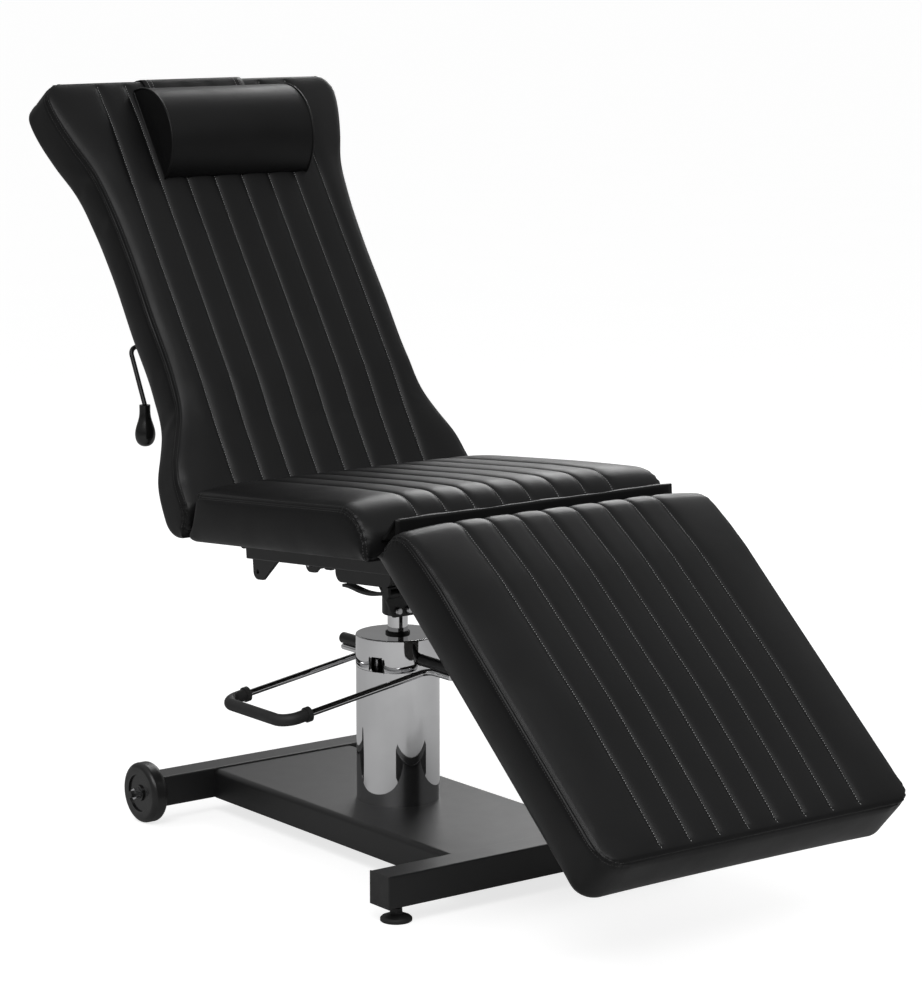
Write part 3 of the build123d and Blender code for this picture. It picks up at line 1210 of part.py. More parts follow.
def make_leg_rest():
    pieces["leg_side_tubes"] = make_leg_side_tubes()
    pieces["leg_cross_tubes"] = make_leg_cross_tubes()
    pieces["leg_cushion"] = make_leg_cushion()
    pieces["leg_board"] = leg_frame * leg_board_block()
    pieces["leg_flap"] = make_leg_flap()
    make_ratchets()


def write_pieces():
    os.makedirs("parts", exist_ok=True)
    for name, shape in pieces.items():
        solids = shape if isinstance(shape, list) else [shape]
        placed = [Pos(0, PUMP_Y, 0) * solid for solid in solids]
        whole = placed[0] if len(placed) == 1 else Compound(children=placed)
        export_step(whole, "parts/" + name + ".step")


make_base()
make_pump()
make_pedal()
make_mount()
make_seat()
make_back()
make_leg_rest()
write_pieces()
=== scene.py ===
import json
import math

import bmesh
import bpy
import numpy as np
from mathutils import Matrix, Vector
from mathutils.bvhtree import BVHTree
from mathutils.kdtree import KDTree


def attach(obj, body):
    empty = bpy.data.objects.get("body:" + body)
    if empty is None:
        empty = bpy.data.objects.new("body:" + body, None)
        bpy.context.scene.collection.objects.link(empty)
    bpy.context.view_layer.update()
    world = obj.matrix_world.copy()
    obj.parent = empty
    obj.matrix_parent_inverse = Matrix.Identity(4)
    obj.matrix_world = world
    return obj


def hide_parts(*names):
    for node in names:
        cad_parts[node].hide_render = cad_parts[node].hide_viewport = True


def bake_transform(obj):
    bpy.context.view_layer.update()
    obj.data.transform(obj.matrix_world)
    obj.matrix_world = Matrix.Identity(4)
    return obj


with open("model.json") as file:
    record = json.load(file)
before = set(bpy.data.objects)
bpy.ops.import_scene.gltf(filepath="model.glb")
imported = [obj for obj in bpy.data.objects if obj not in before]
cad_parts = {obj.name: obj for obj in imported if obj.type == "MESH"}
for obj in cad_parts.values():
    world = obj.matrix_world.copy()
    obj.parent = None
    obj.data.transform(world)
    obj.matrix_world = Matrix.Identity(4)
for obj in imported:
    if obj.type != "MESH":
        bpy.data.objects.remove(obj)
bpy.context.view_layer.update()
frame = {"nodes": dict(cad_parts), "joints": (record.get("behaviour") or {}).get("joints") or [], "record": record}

MM = 0.001

# Places of the three padded sections, from the joints they turn on
SEAT_TILT = 4.9
BACK_ANGLE = 56.4
LEG_ANGLE = 41.2
HINGE_DROP = 95 * MM
BACK_HINGE_Y = 240 * MM


def joint_place(name):
    found = [joint for joint in frame["joints"] if joint["name"] == name]
    return Matrix.Translation(found[0]["pos_m"])


def turned(place, degrees):
    return place @ Matrix.Rotation(math.radians(degrees), 4, "X")


back_place = turned(joint_place("back_recline"), BACK_ANGLE)
leg_place = turned(joint_place("leg_tilt"), LEG_ANGLE)
seat_offset = Matrix.Translation((0, -BACK_HINGE_Y, HINGE_DROP))
seat_place = turned(joint_place("back_recline"), -SEAT_TILT) @ seat_offset

# Cushion sizes
HALF_WIDTH = 300 * MM
SEAT_SIDE_FULLNESS = 4 * MM
BACK_SIDE_FULLNESS = 5.5 * MM
LEG_SIDE_FULLNESS = 3 * MM
BACK_LENGTH = 842 * MM
STITCH_LINES = [x * MM for x in (-195, -139, -84, -28, 28, 84, 139, 195)]
EDGE_REACH = 24 * MM
SIDE_TAPER = 2 * MM
LOWER_ROUND = 10 * MM
LOWER_REACH = 70 * MM
UNDER_RAISE = 5 * MM
UNDER_MARGIN = 16 * MM
UNDER_REACH = 12 * MM
CROWN_SHARE = 0.45
CROWN_POWER = 2.2
DROP_SHARE = 0.45
GROOVE_DEPTH = 3.9 * MM
GROOVE_REACH = 5.2 * MM
SEAM_DEPTH = 2.4 * MM
SEAM_REACH = 2.6 * MM
SEAM_PITCH = 2 * MM
CHANNEL_FADE = 12 * MM
CHANNEL_STOP = 9 * MM
CHANNEL_END = 8 * MM
ROW_OFFSET = 5 * MM
ROW_DEPTH = 0.9 * MM
ROW_REACH = 1.4 * MM
PUCKER_DEPTH = 1.0 * MM
PUCKER_REACH = 7 * MM
PUCKER_PITCH = 13 * MM
BEND_SPAN = 6
STRAIGHT_BEND = 0.06
CORNER_BEND = 0.14

# Lattice of a cushion's mesh
COLUMN_OFFSETS = (0.0, 2.0, 5.0, 12.0, 20.0)
COLUMN_MARGIN = 12 * MM
SPREAD_COLUMNS = 3
EDGE_COLUMNS = 7
EDGE_ROWS = 8
ROW_STEP = 10 * MM
FINE_ROW = 0.5
WALL_SHARES = (0.025, 0.06, 0.13, 0.28, 0.45, 0.62, 0.76, 0.86, 0.93, 0.98)

# Swelling of the covers
CLOTH_PRESSURE = 4.0
CLOTH_FRAMES = 20
CLOTH_QUALITY = 3
SEAT_SWELL = 7 * MM
BACK_SWELL = 7 * MM
LEG_SWELL = 8 * MM
BOLSTER_SWELL = 5 * MM

# Threads
STITCH_PITCH = 4.6 * MM
STRAP_STITCH_PITCH = 5 * MM
STITCH_LENGTH = 3.0 * MM
STITCH_RADIUS = 0.42 * MM
STITCH_LIFT = 0.4 * MM
CAST_REACH = 20 * MM
SEWN_WEIGHT = 0.6


# Node materials

def new_material(name):
    material = bpy.data.materials.new(name)
    material.use_nodes = True
    tree = material.node_tree
    shader = tree.nodes["Principled BSDF"]
    return material, tree, shader


def add_node(tree, kind, **inputs):
    node = tree.nodes.new(kind)
    for name, value in inputs.items():
        node.inputs[name.replace("_", " ")].default_value = value
    return node


def object_position(tree):
    return tree.nodes.new("ShaderNodeTexCoord").outputs["Object"]


def noise_value(tree, scale, detail=3.0, roughness=0.5, stretch=None):
    texture = add_node(tree, "ShaderNodeTexNoise", Scale=scale, Detail=detail, Roughness=roughness)
    position = object_position(tree)
    if stretch:
        mapping = tree.nodes.new("ShaderNodeMapping")
        mapping.inputs["Scale"].default_value = stretch
        tree.links.new(position, mapping.inputs["Vector"])
        position = mapping.outputs["Vector"]
    tree.links.new(position, texture.inputs["Vector"])
    return texture.outputs["Fac"]


def ranged(tree, value, low, high, from_low=0.3, from_high=0.7):
    node = tree.nodes.new("ShaderNodeMapRange")
    node.inputs["From Min"].default_value = from_low
    node.inputs["From Max"].default_value = from_high
    node.inputs["To Min"].default_value = low
    node.inputs["To Max"].default_value = high
    tree.links.new(value, node.inputs["Value"])
    return node.outputs["Result"]


def grey_mix(tree, value, dark, light):
    node = tree.nodes.new("ShaderNodeMix")
    node.data_type = "RGBA"
    node.inputs["A"].default_value = dark + (1,)
    node.inputs["B"].default_value = light + (1,)
    tree.links.new(value, node.inputs["Factor"])
    return node.outputs["Result"]


def bump(tree, shader, value, distance, strength=1.0, before=None):
    node = tree.nodes.new("ShaderNodeBump")
    node.inputs["Distance"].default_value = distance
    node.inputs["Strength"].default_value = strength
    tree.links.new(value, node.inputs["Height"])
    if before:
        tree.links.new(before, node.inputs["Normal"])
    tree.links.new(node.outputs["Normal"], shader.inputs["Normal"])
    return node.outputs["Normal"]


def leatherette():
    """Soft black leatherette: a fine pebble grain over faint creases, with an uneven soft sheen."""
    material, tree, shader = new_material("leatherette")
    tone = ranged(tree, noise_value(tree, 5.0), 0.0, 1.0)
    colour = grey_mix(tree, tone, (0.0032, 0.0032, 0.0034), (0.005, 0.005, 0.0052))
    tree.links.new(colour, shader.inputs["Base Color"])
    gloss = ranged(tree, noise_value(tree, 14.0), 0.36, 0.46)
    tree.links.new(gloss, shader.inputs["Roughness"])
    shader.inputs["Specular IOR Level"].default_value = 0.22
    cells = add_node(tree, "ShaderNodeTexVoronoi", Scale=900.0)
    cells.feature = "SMOOTH_F1"
    tree.links.new(object_position(tree), cells.inputs["Vector"])
    grain = bump(tree, shader, cells.outputs["Distance"], 0.00025, 0.35)
    bump(tree, shader, noise_value(tree, 60.0, 4.0), 0.0008, 0.12, grain)
    return material


def powder_coat():
    """Satin black powder coat with its orange-peel skin."""
    material, tree, shader = new_material("powder_coat")
    tone = ranged(tree, noise_value(tree, 9.0), 0.0, 1.0)
    colour = grey_mix(tree, tone, (0.0078, 0.0078, 0.0081), (0.0089, 0.0089, 0.0093))
    tree.links.new(colour, shader.inputs["Base Color"])
    tree.links.new(ranged(tree, noise_value(tree, 30.0), 0.43, 0.45), shader.inputs["Roughness"])
    bump(tree, shader, noise_value(tree, 700.0, 2.0), 0.0003, 0.3)
    return material


def chrome_plate():
    """Bright chrome with faint smears."""
    material, tree, shader = new_material("chrome_plate")
    shader.inputs["Metallic"].default_value = 1.0
    tone = ranged(tree, noise_value(tree, 12.0), 0.0, 1.0)
    colour = grey_mix(tree, tone, (0.66, 0.66, 0.67), (0.74, 0.74, 0.75))
    tree.links.new(colour, shader.inputs["Base Color"])
    tree.links.new(ranged(tree, noise_value(tree, 22.0), 0.012, 0.03), shader.inputs["Roughness"])
    return material


def bright_steel():
    """Zinc-plated steel with fine drawn lines."""
    material, tree, shader = new_material("bright_steel")
    shader.inputs["Metallic"].default_value = 1.0
    tone = ranged(tree, noise_value(tree, 40.0), 0.0, 1.0)
    colour = grey_mix(tree, tone, (0.5, 0.5, 0.51), (0.64, 0.64, 0.65))
    tree.links.new(colour, shader.inputs["Base Color"])
    drawn = noise_value(tree, 60.0, stretch=(1.0, 12.0, 12.0))
    tree.links.new(ranged(tree, drawn, 0.22, 0.38), shader.inputs["Roughness"])
    return material


def moulded_rubber(name, dark, light, low, high):
    """Black rubber or plastic with a fine moulded skin."""
    material, tree, shader = new_material(name)
    tone = ranged(tree, noise_value(tree, 18.0), 0.0, 1.0)
    tree.links.new(grey_mix(tree, tone, (dark,) * 3, (light,) * 3), shader.inputs["Base Color"])
    tree.links.new(ranged(tree, noise_value(tree, 45.0), low, high), shader.inputs["Roughness"])
    bump(tree, shader, noise_value(tree, 900.0, 2.0), 0.0002, 0.25)
    return material


def plywood():
    """Plywood stained black, with its grain along the section."""
    material, tree, shader = new_material("plywood")
    rings = noise_value(tree, 9.0, 5.0, 0.6, (14.0, 1.0, 14.0))
    colour = grey_mix(tree, ranged(tree, rings, 0.0, 1.0), (0.012, 0.011, 0.01), (0.024, 0.021, 0.018))
    tree.links.new(colour, shader.inputs["Base Color"])
    shader.inputs["Roughness"].default_value = 0.7
    bump(tree, shader, rings, 0.0004, 0.3)
    return material


def thread(name, dark, light):
    """Polyester thread, twisted."""
    material, tree, shader = new_material(name)
    tone = ranged(tree, noise_value(tree, 400.0), 0.0, 1.0)
    colour = grey_mix(tree, tone, (dark,) * 3, (light,) * 3)
    tree.links.new(colour, shader.inputs["Base Color"])
    shader.inputs["Roughness"].default_value = 0.6
    bump(tree, shader, noise_value(tree, 2500.0), 0.0001, 0.4)
    return material


finishes = {
    "black_leatherette": leatherette(),
    "black_powder_coat": powder_coat(),
    "chrome": chrome_plate(),
    "bright_steel": bright_steel(),
    "plywood": plywood(),
    "black_rubber": moulded_rubber("black_rubber", dark=0.009, light=0.014, low=0.55, high=0.7),
    "black_tyre": moulded_rubber("tyre", dark=0.007, light=0.011, low=0.3, high=0.42),
    "black_plastic": moulded_rubber("black_plastic", dark=0.01, light=0.014, low=0.42, high=0.55),
    "gloss_black_plastic": moulded_rubber("gloss_plastic", dark=0.006, light=0.009, low=0.16, high=0.24),
    "thread": thread("thread", dark=0.3, light=0.42),
    "black_thread": thread("black_thread", dark=0.03, light=0.05),
}


def dress_cad_nodes():
    """Gives every carried-over piece the finish that its record names."""
    slots = {part["node"]: part["material_slot"] for part in frame["record"]["subparts"]}
    for name, node in frame["nodes"].items():
        material = finishes[slots[name]]
        node.data.materials.clear()
        node.data.materials.append(material)


# Paths of a section's side outline, as lists of points in the section's Y and Z

def straight(start, end):
    return lambda share: (start[0] + (end[0] - start[0]) * share, start[1] + (end[1] - start[1]) * share)


def arc(centre, radius, first, last):
    def point(share):
        angle = math.radians(first + (last - first) * share)
        return centre[0] + radius * math.cos(angle), centre[1] + radius * math.sin(angle)
    return point


class Path:
    """A path of straight and round stretches, read by the length along it."""

    def __init__(self, *stretches):
        steps = 48
        points = [stretches[0](0.0)]
        for stretch in stretches:
            points += [stretch(count / steps) for count in range(1, steps + 1)]
        self.points = np.array(points)
        gaps = np.linalg.norm(np.diff(self.points, axis=0), axis=1)
        self.reach = np.concatenate([[0.0], np.cumsum(gaps)])
        self.length = self.reach[-1]

    def at(self, distance):
        y = np.interp(distance, self.reach, self.points[:, 0])
        z = np.interp(distance, self.reach, self.points[:, 1])
        return np.array([y, z])

    def normal(self, distance):
        """The direction out of the panel that the path runs along."""
        step = 2 * MM
        along = self.at(min(distance + step, self.length)) - self.at(max(distance - step, 0.0))
        along /= max(np.linalg.norm(along), 1e-9)
        out = np.array([along[1], -along[0]])
        return out if self.points[-1][0] < self.points[0][0] else -out


# Cushions: closed shells laid out on a lattice, so that stitch lines and seams fall on edges

def lattice_columns():
    """Places across the top panel, as distances from the middle: close together at stitches."""
    inner = set()
    for line in STITCH_LINES:
        for offset in COLUMN_OFFSETS:
            inner |= {round(line + side * offset * MM, 5) for side in (-1, 1)}
    return sorted(x for x in inner if abs(x) <= STITCH_LINES[-1] + COLUMN_MARGIN + 1e-6)


def edge_shares(count):
    """Shares of the edge's reach, close together where the edge turns down."""
    return [1 - math.cos(math.pi / 2 * step / count) for step in range(count)]


def table_value(table, share):
    return float(np.interp(share, [row[0] for row in table], [row[1] for row in table]))


class Shell:
    """One padded section. Top and bottom are the paths that run along it, and half_width gives its outline.

    The tables of crown and seam_lift say, in millimetres by shares of the top path, how far the middle of the
    top panel stands above its side seams, and how far the seams stand above the path. Channels fade below the
    height fade, and rows lie closer together between the two shares of fine."""

    def __init__(
        self, name, top, bottom, half_width, ends, corner, edge_drop, crown, seam_lift, fade, fine,
        under_raise=UNDER_RAISE,
    ):
        self.name = name
        self.top = top
        self.bottom = bottom
        self.half_width = half_width
        self.boxed_start, self.boxed_end = ends
        self.corner = corner
        self.edge_drop = edge_drop
        self.crown = crown
        self.seam_lift = seam_lift
        self.fade = fade
        self.fine = fine
        self.under_raise = under_raise

    def rows(self):
        """Places along the top path: close together at boxed ends."""
        length = self.top.length
        near = [max(self.corner, EDGE_REACH) * share for share in edge_shares(EDGE_ROWS)]
        start = near if self.boxed_start else [0.0]
        end = [length - distance for distance in near] if self.boxed_end else [length]
        low = max(start) + ROW_STEP / 2
        high = min(end) - ROW_STEP / 2
        middle, place = [], low
        while place < high:
            middle.append(place)
            place += ROW_STEP * (FINE_ROW if self.fine[0] < place / length < self.fine[1] else 1.0)
        return sorted(start + middle + end)

    def end_distance(self, place):
        """Distance to the nearest boxed end."""
        far = 10.0
        start = place if self.boxed_start else far
        end = self.top.length - place if self.boxed_end else far
        return min(start, end)

    def width_at(self, place):
        """Half width, less the round of the plan's corners."""
        half = self.half_width(place / self.top.length)
        gap = self.corner - self.end_distance(place)
        if gap > 0:
            half -= self.corner - math.sqrt(max(self.corner ** 2 - gap ** 2, 0.0))
        return half

    def columns(self, place):
        """X places across one row: fixed at the stitches, and spread to the outline outside them."""
        half = self.width_at(place)
        inner = lattice_columns()
        last = inner[-1]
        limit = half - EDGE_REACH
        if limit < last:
            inner = [x * limit / last for x in inner]
            last = limit
        steps = range(1, SPREAD_COLUMNS + 1)
        spread = [last + (limit - last) * step / (SPREAD_COLUMNS + 1) for step in steps]
        edge = [half - EDGE_REACH * share for share in edge_shares(EDGE_COLUMNS)]
        outer = spread + sorted(edge)
        return [-x for x in reversed(outer)] + inner + outer

    def thickness(self, place):
        low = self.bottom.at(place / self.top.length * self.bottom.length)
        return max(float(np.linalg.norm(self.top.at(place) - low)), 1e-6)

    def drop_at(self, x, place, half):
        """How far the top panel has turned down at a place near its edge."""
        gap = min(half - abs(x), self.end_distance(place))
        share = 1 - min(max(gap, 0.0), EDGE_REACH) / EDGE_REACH
        drop = self.edge_drop * (1 - math.sqrt(max(1 - share ** 2, 0.0)))
        return min(drop, self.thickness(place) * DROP_SHARE)

    def top_point(self, x, place, half):
        """A point of the top panel, with its crown, moved out along the path's normal."""
        share = place / self.top.length
        y, z = self.top.at(place)
        normal = self.top.normal(place)
        inward = min((half - abs(x)) / half / CROWN_SHARE, 1.0)
        rise = table_value(self.crown, share) * (1 - (1 - inward) ** CROWN_POWER)
        rise += table_value(self.seam_lift, share)
        rise = rise * MM - self.drop_at(x, place, half)
        return Vector((x, y + normal[0] * rise, z + normal[1] * rise))

    def low_points(self, x, place, half):
        """The bottom point below a place, before and after the inset of the lower edge."""
        share = place / self.top.length
        y, z = self.bottom.at(share * self.bottom.length)
        inset = min(SIDE_TAPER + LOWER_ROUND, 0.4 * self.thickness(place))
        plain = Vector((x, y, z))
        inner_x = x * (half - inset) / half
        shift = 0.0
        left = self.top.length - place
        if self.boxed_start and place < LOWER_REACH:
            shift = -inset * (1 - place / LOWER_REACH)
        if self.boxed_end and left < LOWER_REACH:
            shift = inset * (1 - left / LOWER_REACH)
        inner = Vector((inner_x, y + shift, z))
        gap = min(half - inset - abs(inner_x), self.end_distance(place))
        inner.z += self.under_raise * smooth_step((gap - UNDER_MARGIN) / UNDER_REACH)
        return plain, inner

    def build(self):
        """Makes the closed mesh. A vertex group holds what the simulation may not move."""
        grid = bmesh.new()
        top, bottom, plain = [], [], []
        held = []
        for place in self.rows():
            half = self.width_at(place)
            line, under, flat = [], [], []
            for x in self.columns(place):
                vertex = grid.verts.new(self.top_point(x, place, half))
                line.append(vertex)
                if min(abs(x - stitch) for stitch in STITCH_LINES) < 1e-5:
                    held.append(vertex)
                before, after = self.low_points(x, place, half)
                under.append(grid.verts.new(after))
                flat.append(before)
            top.append(line)
            bottom.append(under)
            plain.append(flat)
        for first in range(len(top) - 1):
            for column in range(len(top[0]) - 1):
                for lines in (top, bottom):
                    a, b = lines[first][column], lines[first][column + 1]
                    c, d = lines[first + 1][column + 1], lines[first + 1][column]
                    grid.faces.new((a, b, c, d))
        seam = around(top)
        self.walls(grid, seam, around(bottom), around(plain))
        bmesh.ops.recalc_face_normals(grid, faces=grid.faces)
        grid.verts.index_update()
        held = sorted({vertex.index for vertex in held + seam + [v for line in bottom for v in line]})
        self.seam_points = [vertex.co.copy() for vertex in seam]
        mesh = bpy.data.meshes.new(self.name)
        grid.to_mesh(mesh)
        grid.free()
        piece = bpy.data.objects.new(self.name, mesh)
        bpy.context.scene.collection.objects.link(piece)
        piece.vertex_groups.new(name="held").add(held, 1.0, "ADD")
        return piece

    def walls(self, grid, seam, foot, plain):
        """Side and end walls between the two panels, which turn under at their lower edge."""
        rings = [seam]
        for share in WALL_SHARES:
            line = []
            for high, low, straight_low in zip(seam, foot, plain):
                height = abs(high.co.z - low.co.z)
                turn = min(LOWER_ROUND, 0.3 * height)
                gap = max(0.0, turn - (1 - share) * height)
                round_in = turn - math.sqrt(max(turn ** 2 - gap ** 2, 0.0))
                taper = SIDE_TAPER / (SIDE_TAPER + LOWER_ROUND)
                inset = taper * share + (1 - taper) * (round_in / turn if turn > 0 else share)
                spot = high.co.lerp(straight_low, share) + (low.co - straight_low) * inset
                line.append(grid.verts.new(spot))
            rings.append(line)
        rings.append(foot)
        count = len(seam)
        for upper, lower in zip(rings, rings[1:]):
            for here in range(count):
                there = (here + 1) % count
                grid.faces.new((upper[here], upper[there], lower[there], lower[here]))

    def channel_weight(self, point):
        """Channels stop short of the boxed ends and fade where the panel turns under."""
        weight = smooth_step((point.z - self.fade) / CHANNEL_FADE)
        if self.boxed_start:
            weight *= smooth_step((self.top.points[0][0] - point.y - CHANNEL_STOP) / CHANNEL_END)
        if self.boxed_end:
            weight *= smooth_step((abs(self.top.points[-1][0] - point.y) - CHANNEL_STOP) / CHANNEL_END)
        return weight


def around(lines):
    """The outer loop of a grid."""
    loop = list(lines[0])
    loop += [line[-1] for line in lines[1:]]
    loop += list(reversed(lines[-1]))[1:]
    loop += [line[0] for line in reversed(lines[1:-1])]
    return loop


def smooth_step(value):
    value = min(max(value, 0.0), 1.0)
    return value * value * (3 - 2 * value)


def swell(piece, cap):
    """Blows the cushion up as cloth over its foam, holds its seams, and keeps each point within a cap."""
    rest = np.array([v.co for v in piece.data.vertices])
    cloth = piece.modifiers.new("swell", "CLOTH")
    settings = cloth.settings
    settings.quality = CLOTH_QUALITY
    settings.mass = 0.3
    settings.tension_stiffness = 18
    settings.compression_stiffness = 18
    settings.shear_stiffness = 6
    settings.bending_stiffness = 1.5
    settings.use_pressure = True
    settings.uniform_pressure_force = CLOTH_PRESSURE
    settings.vertex_group_mass = "held"
    settings.effector_weights.gravity = 0
    cloth.collision_settings.use_collision = False
    scene = bpy.context.scene
    scene.frame_start = 1
    scene.frame_end = CLOTH_FRAMES
    cloth.point_cache.frame_start = 1
    cloth.point_cache.frame_end = CLOTH_FRAMES
    for count in range(1, CLOTH_FRAMES + 1):
        scene.frame_set(count)
    depsgraph = bpy.context.evaluated_depsgraph_get()
    swollen = piece.evaluated_get(depsgraph).to_mesh()
    moved = np.array([v.co for v in swollen.vertices])
    piece.evaluated_get(depsgraph).to_mesh_clear()
    piece.modifiers.remove(cloth)
    scene.frame_set(1)
    shift = moved - rest
    sideways = np.abs(rest[:, :1] - np.array(STITCH_LINES)).min(axis=1)
    shift[:, 0] *= np.clip(sideways / (2 * GROOVE_REACH), 0, 1)
    length = np.linalg.norm(shift, axis=1)
    scale = cap * np.tanh(length / cap) / np.maximum(length, 1e-9)
    placed = rest + shift * scale[:, None]
    piece.data.vertices.foreach_set("co", placed.astype(np.float32).ravel())
    piece.data.update()


def subdivide(piece):
    modifier = piece.modifiers.new("smooth", "SUBSURF")
    modifier.levels = 1
    depsgraph = bpy.context.evaluated_depsgraph_get()
    mesh = bpy.data.meshes.new_from_object(piece.evaluated_get(depsgraph))
    piece.modifiers.clear()
    old = piece.data
    piece.data = mesh
    bpy.data.meshes.remove(old)


def shade_smooth(piece):
    piece.data.polygons.foreach_set("use_smooth", [True] * len(piece.data.polygons))


def carve(piece, shell):
    """Sews the channels and seams: each is drawn into the cover as a crease with soft shoulders."""
    seam = dense_points(shell.seam_points, SEAM_PITCH, True)
    tree = KDTree(len(seam))
    for index, point in enumerate(seam):
        tree.insert(point, index)
    tree.balance()
    bends = [bend_at(seam, index) for index in range(len(seam))]
    mesh = piece.data
    normals = [v.normal.copy() for v in mesh.vertices]
    for vertex, normal in zip(mesh.vertices, normals):
        nearest = min(abs(vertex.co.x - line) for line in STITCH_LINES)
        depth = 0.0
        if nearest < 5 * GROOVE_REACH:
            weight = shell.channel_weight(vertex.co)
            depth += GROOVE_DEPTH * math.exp(-(nearest / GROOVE_REACH)) * weight
        index, away = tree.find(vertex.co)[1:]
        if away < 4 * SEAM_REACH:
            depth += SEAM_DEPTH * math.exp(-((away / SEAM_REACH) ** 2))
            depth += ROW_DEPTH * math.exp(-(((away - ROW_OFFSET) / ROW_REACH) ** 2))
        if away < 3 * PUCKER_REACH:
            wave = math.sin(2 * math.pi * index * SEAM_PITCH / PUCKER_PITCH)
            depth += PUCKER_DEPTH * wave * bends[index] * math.exp(-((away / PUCKER_REACH) ** 2))
        if depth > 0:
            vertex.co -= normal * depth
    mesh.update()


def bend_at(run, index):
    """How sharply a closed run of points bends, from 0 for straight to 1 for a cushion's corner."""
    before, here, after = run[index - BEND_SPAN], run[index], run[(index + BEND_SPAN) % len(run)]
    turn = (here - before).angle(after - here, 0.0)
    return smooth_step((turn - STRAIGHT_BEND) / CORNER_BEND)


def dense_points(points, pitch, closed=False):
    """Evenly spaced points along a run of points."""
    run = list(points) + ([points[0]] if closed else [])
    run = np.array([tuple(point) for point in run])
    gaps = np.linalg.norm(np.diff(run, axis=0), axis=1)
    reach = np.concatenate([[0.0], np.cumsum(gaps)])
    count = max(int(reach[-1] / pitch), 1)
    places = (np.arange(count) + 0.5) * reach[-1] / count
    axes = [np.interp(places, reach, run[:, axis]) for axis in range(3)]
    return [Vector(point) for point in zip(*axes)]


# Stitches: short threads that lie on a cushion's cover

def surface_tree(piece):
    mesh = piece.data
    corners = [tuple(polygon.vertices) for polygon in mesh.polygons]
    return BVHTree.FromPolygons([v.co.copy() for v in mesh.vertices], corners)


def add_stitch(points, faces, middle, along, normal):
    """One thread: two rings of four points between two tips."""
    side = along.cross(normal).normalized()
    base = len(points)
    points.append(middle - along * (STITCH_LENGTH / 2))
    for place in (-0.3, 0.3):
        centre = middle + along * (STITCH_LENGTH * place)
        for across, up in ((1, 0), (0, 1), (-1, 0), (0, -1)):
            points.append(centre + (side * across + normal * up) * STITCH_RADIUS)
    points.append(middle + along * (STITCH_LENGTH / 2))
    for step in range(4):
        here, there = base + 1 + step, base + 1 + (step + 1) % 4
        faces.append((base, there, here))
        faces.append((here, there, there + 4, here + 4))
        faces.append((here + 4, there + 4, base + 9))


def lay(tree, point, keep_x):
    """Where a run's point lies on the cover. With keep_x it stays at its own place across the cushion."""
    here, normal = tree.find_nearest(point)[:2]
    up = Vector((0, normal.y, normal.z))
    if keep_x and up.length > 0.3:
        up.normalize()
        start = Vector((point.x, here.y, here.z)) + up * CAST_REACH
        hit = tree.ray_cast(start, -up, 2 * CAST_REACH)[0]
        if hit:
            return hit + up * STITCH_LIFT, up
    return here, normal


def sew(name, piece, runs, body, pitch=STITCH_PITCH, finish="thread", wanted=None, keep_x=False):
    """Lays stitches on a piece along runs of points, everywhere or where they are wanted."""
    tree = surface_tree(piece)
    points, faces = [], []
    for run in runs:
        placed = [lay(tree, point, keep_x) for point in dense_points(run, pitch)]
        for (here, normal), (there, _) in zip(placed, placed[1:]):
            along = there - here
            if (wanted is None or wanted(here)) and 0.3 * pitch < along.length < 2 * pitch:
                middle = here + along / 2 + normal * STITCH_RADIUS * 0.3
                add_stitch(points, faces, middle, along.normalized(), normal)
    add_piece(name, points, faces, piece.matrix_world, finish, body)


def add_piece(name, points, faces, place, finish, body=None):
    mesh = bpy.data.meshes.new(name)
    mesh.from_pydata([tuple(point) for point in points], [], faces)
    mesh.update()
    piece = bpy.data.objects.new(name, mesh)
    bpy.context.scene.collection.objects.link(piece)
    piece.matrix_world = place
    mesh.materials.append(finishes[finish])
    shade_smooth(piece)
    if body:
        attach(piece, body)
    return piece


def channel_runs(shell):
    """Stitch runs along a cushion's channels."""
    places = np.linspace(0, shell.top.length, 240)
    halves = [shell.width_at(place) for place in places]
    return [[shell.top_point(x, place, half) for place, half in zip(places, halves)] for x in STITCH_LINES]


def seam_runs(shell):
    """Two rows of stitches beside each side seam, one on the panel and one on the wall."""
    runs = []
    for side in (-1, 1):
        line = []
        for place in shell.rows():
            half = shell.width_at(place)
            line.append(shell.top_point(side * half, place, half))
        inner = [point - Vector((side * ROW_OFFSET, 0, -2 * MM)) for point in line]
        outer = [point + Vector((side * MM, 0, -ROW_OFFSET)) for point in line]
        runs += [inner, outer]
    return runs


def make_cushion(shell, node, body, place, cap):
    piece = shell.build()
    swell(piece, cap)
    subdivide(piece)
    carve(piece, shell)
    shade_smooth(piece)
    piece.data.materials.append(finishes["black_leatherette"])
    piece.matrix_world = place
    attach(piece, body)
    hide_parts(node)
    bpy.context.view_layer.update()

    def channelled(point):
        return shell.channel_weight(point) > SEWN_WEIGHT

    sew(shell.name + "_stitches", piece, channel_runs(shell), body, wanted=channelled, keep_x=True)
    sew(shell.name + "_seams", piece, seam_runs(shell), body, finish="black_thread")
    return piece


# Outline of the back: half width along it, as shares of its length and of the widest half width
BACK_WIDTH_SHARES = [
    (0.0, 0.986),
    (0.058, 0.986),
    (0.140, 0.950),
    (0.190, 0.885),
    (0.240, 0.826),
    (0.320, 0.800),
    (0.460, 0.800),
    (0.605, 0.797),
    (0.710, 0.812),
    (0.790, 0.846),
    (0.855, 0.915),
    (0.915, 0.965),
    (1.0, 1.0),
]


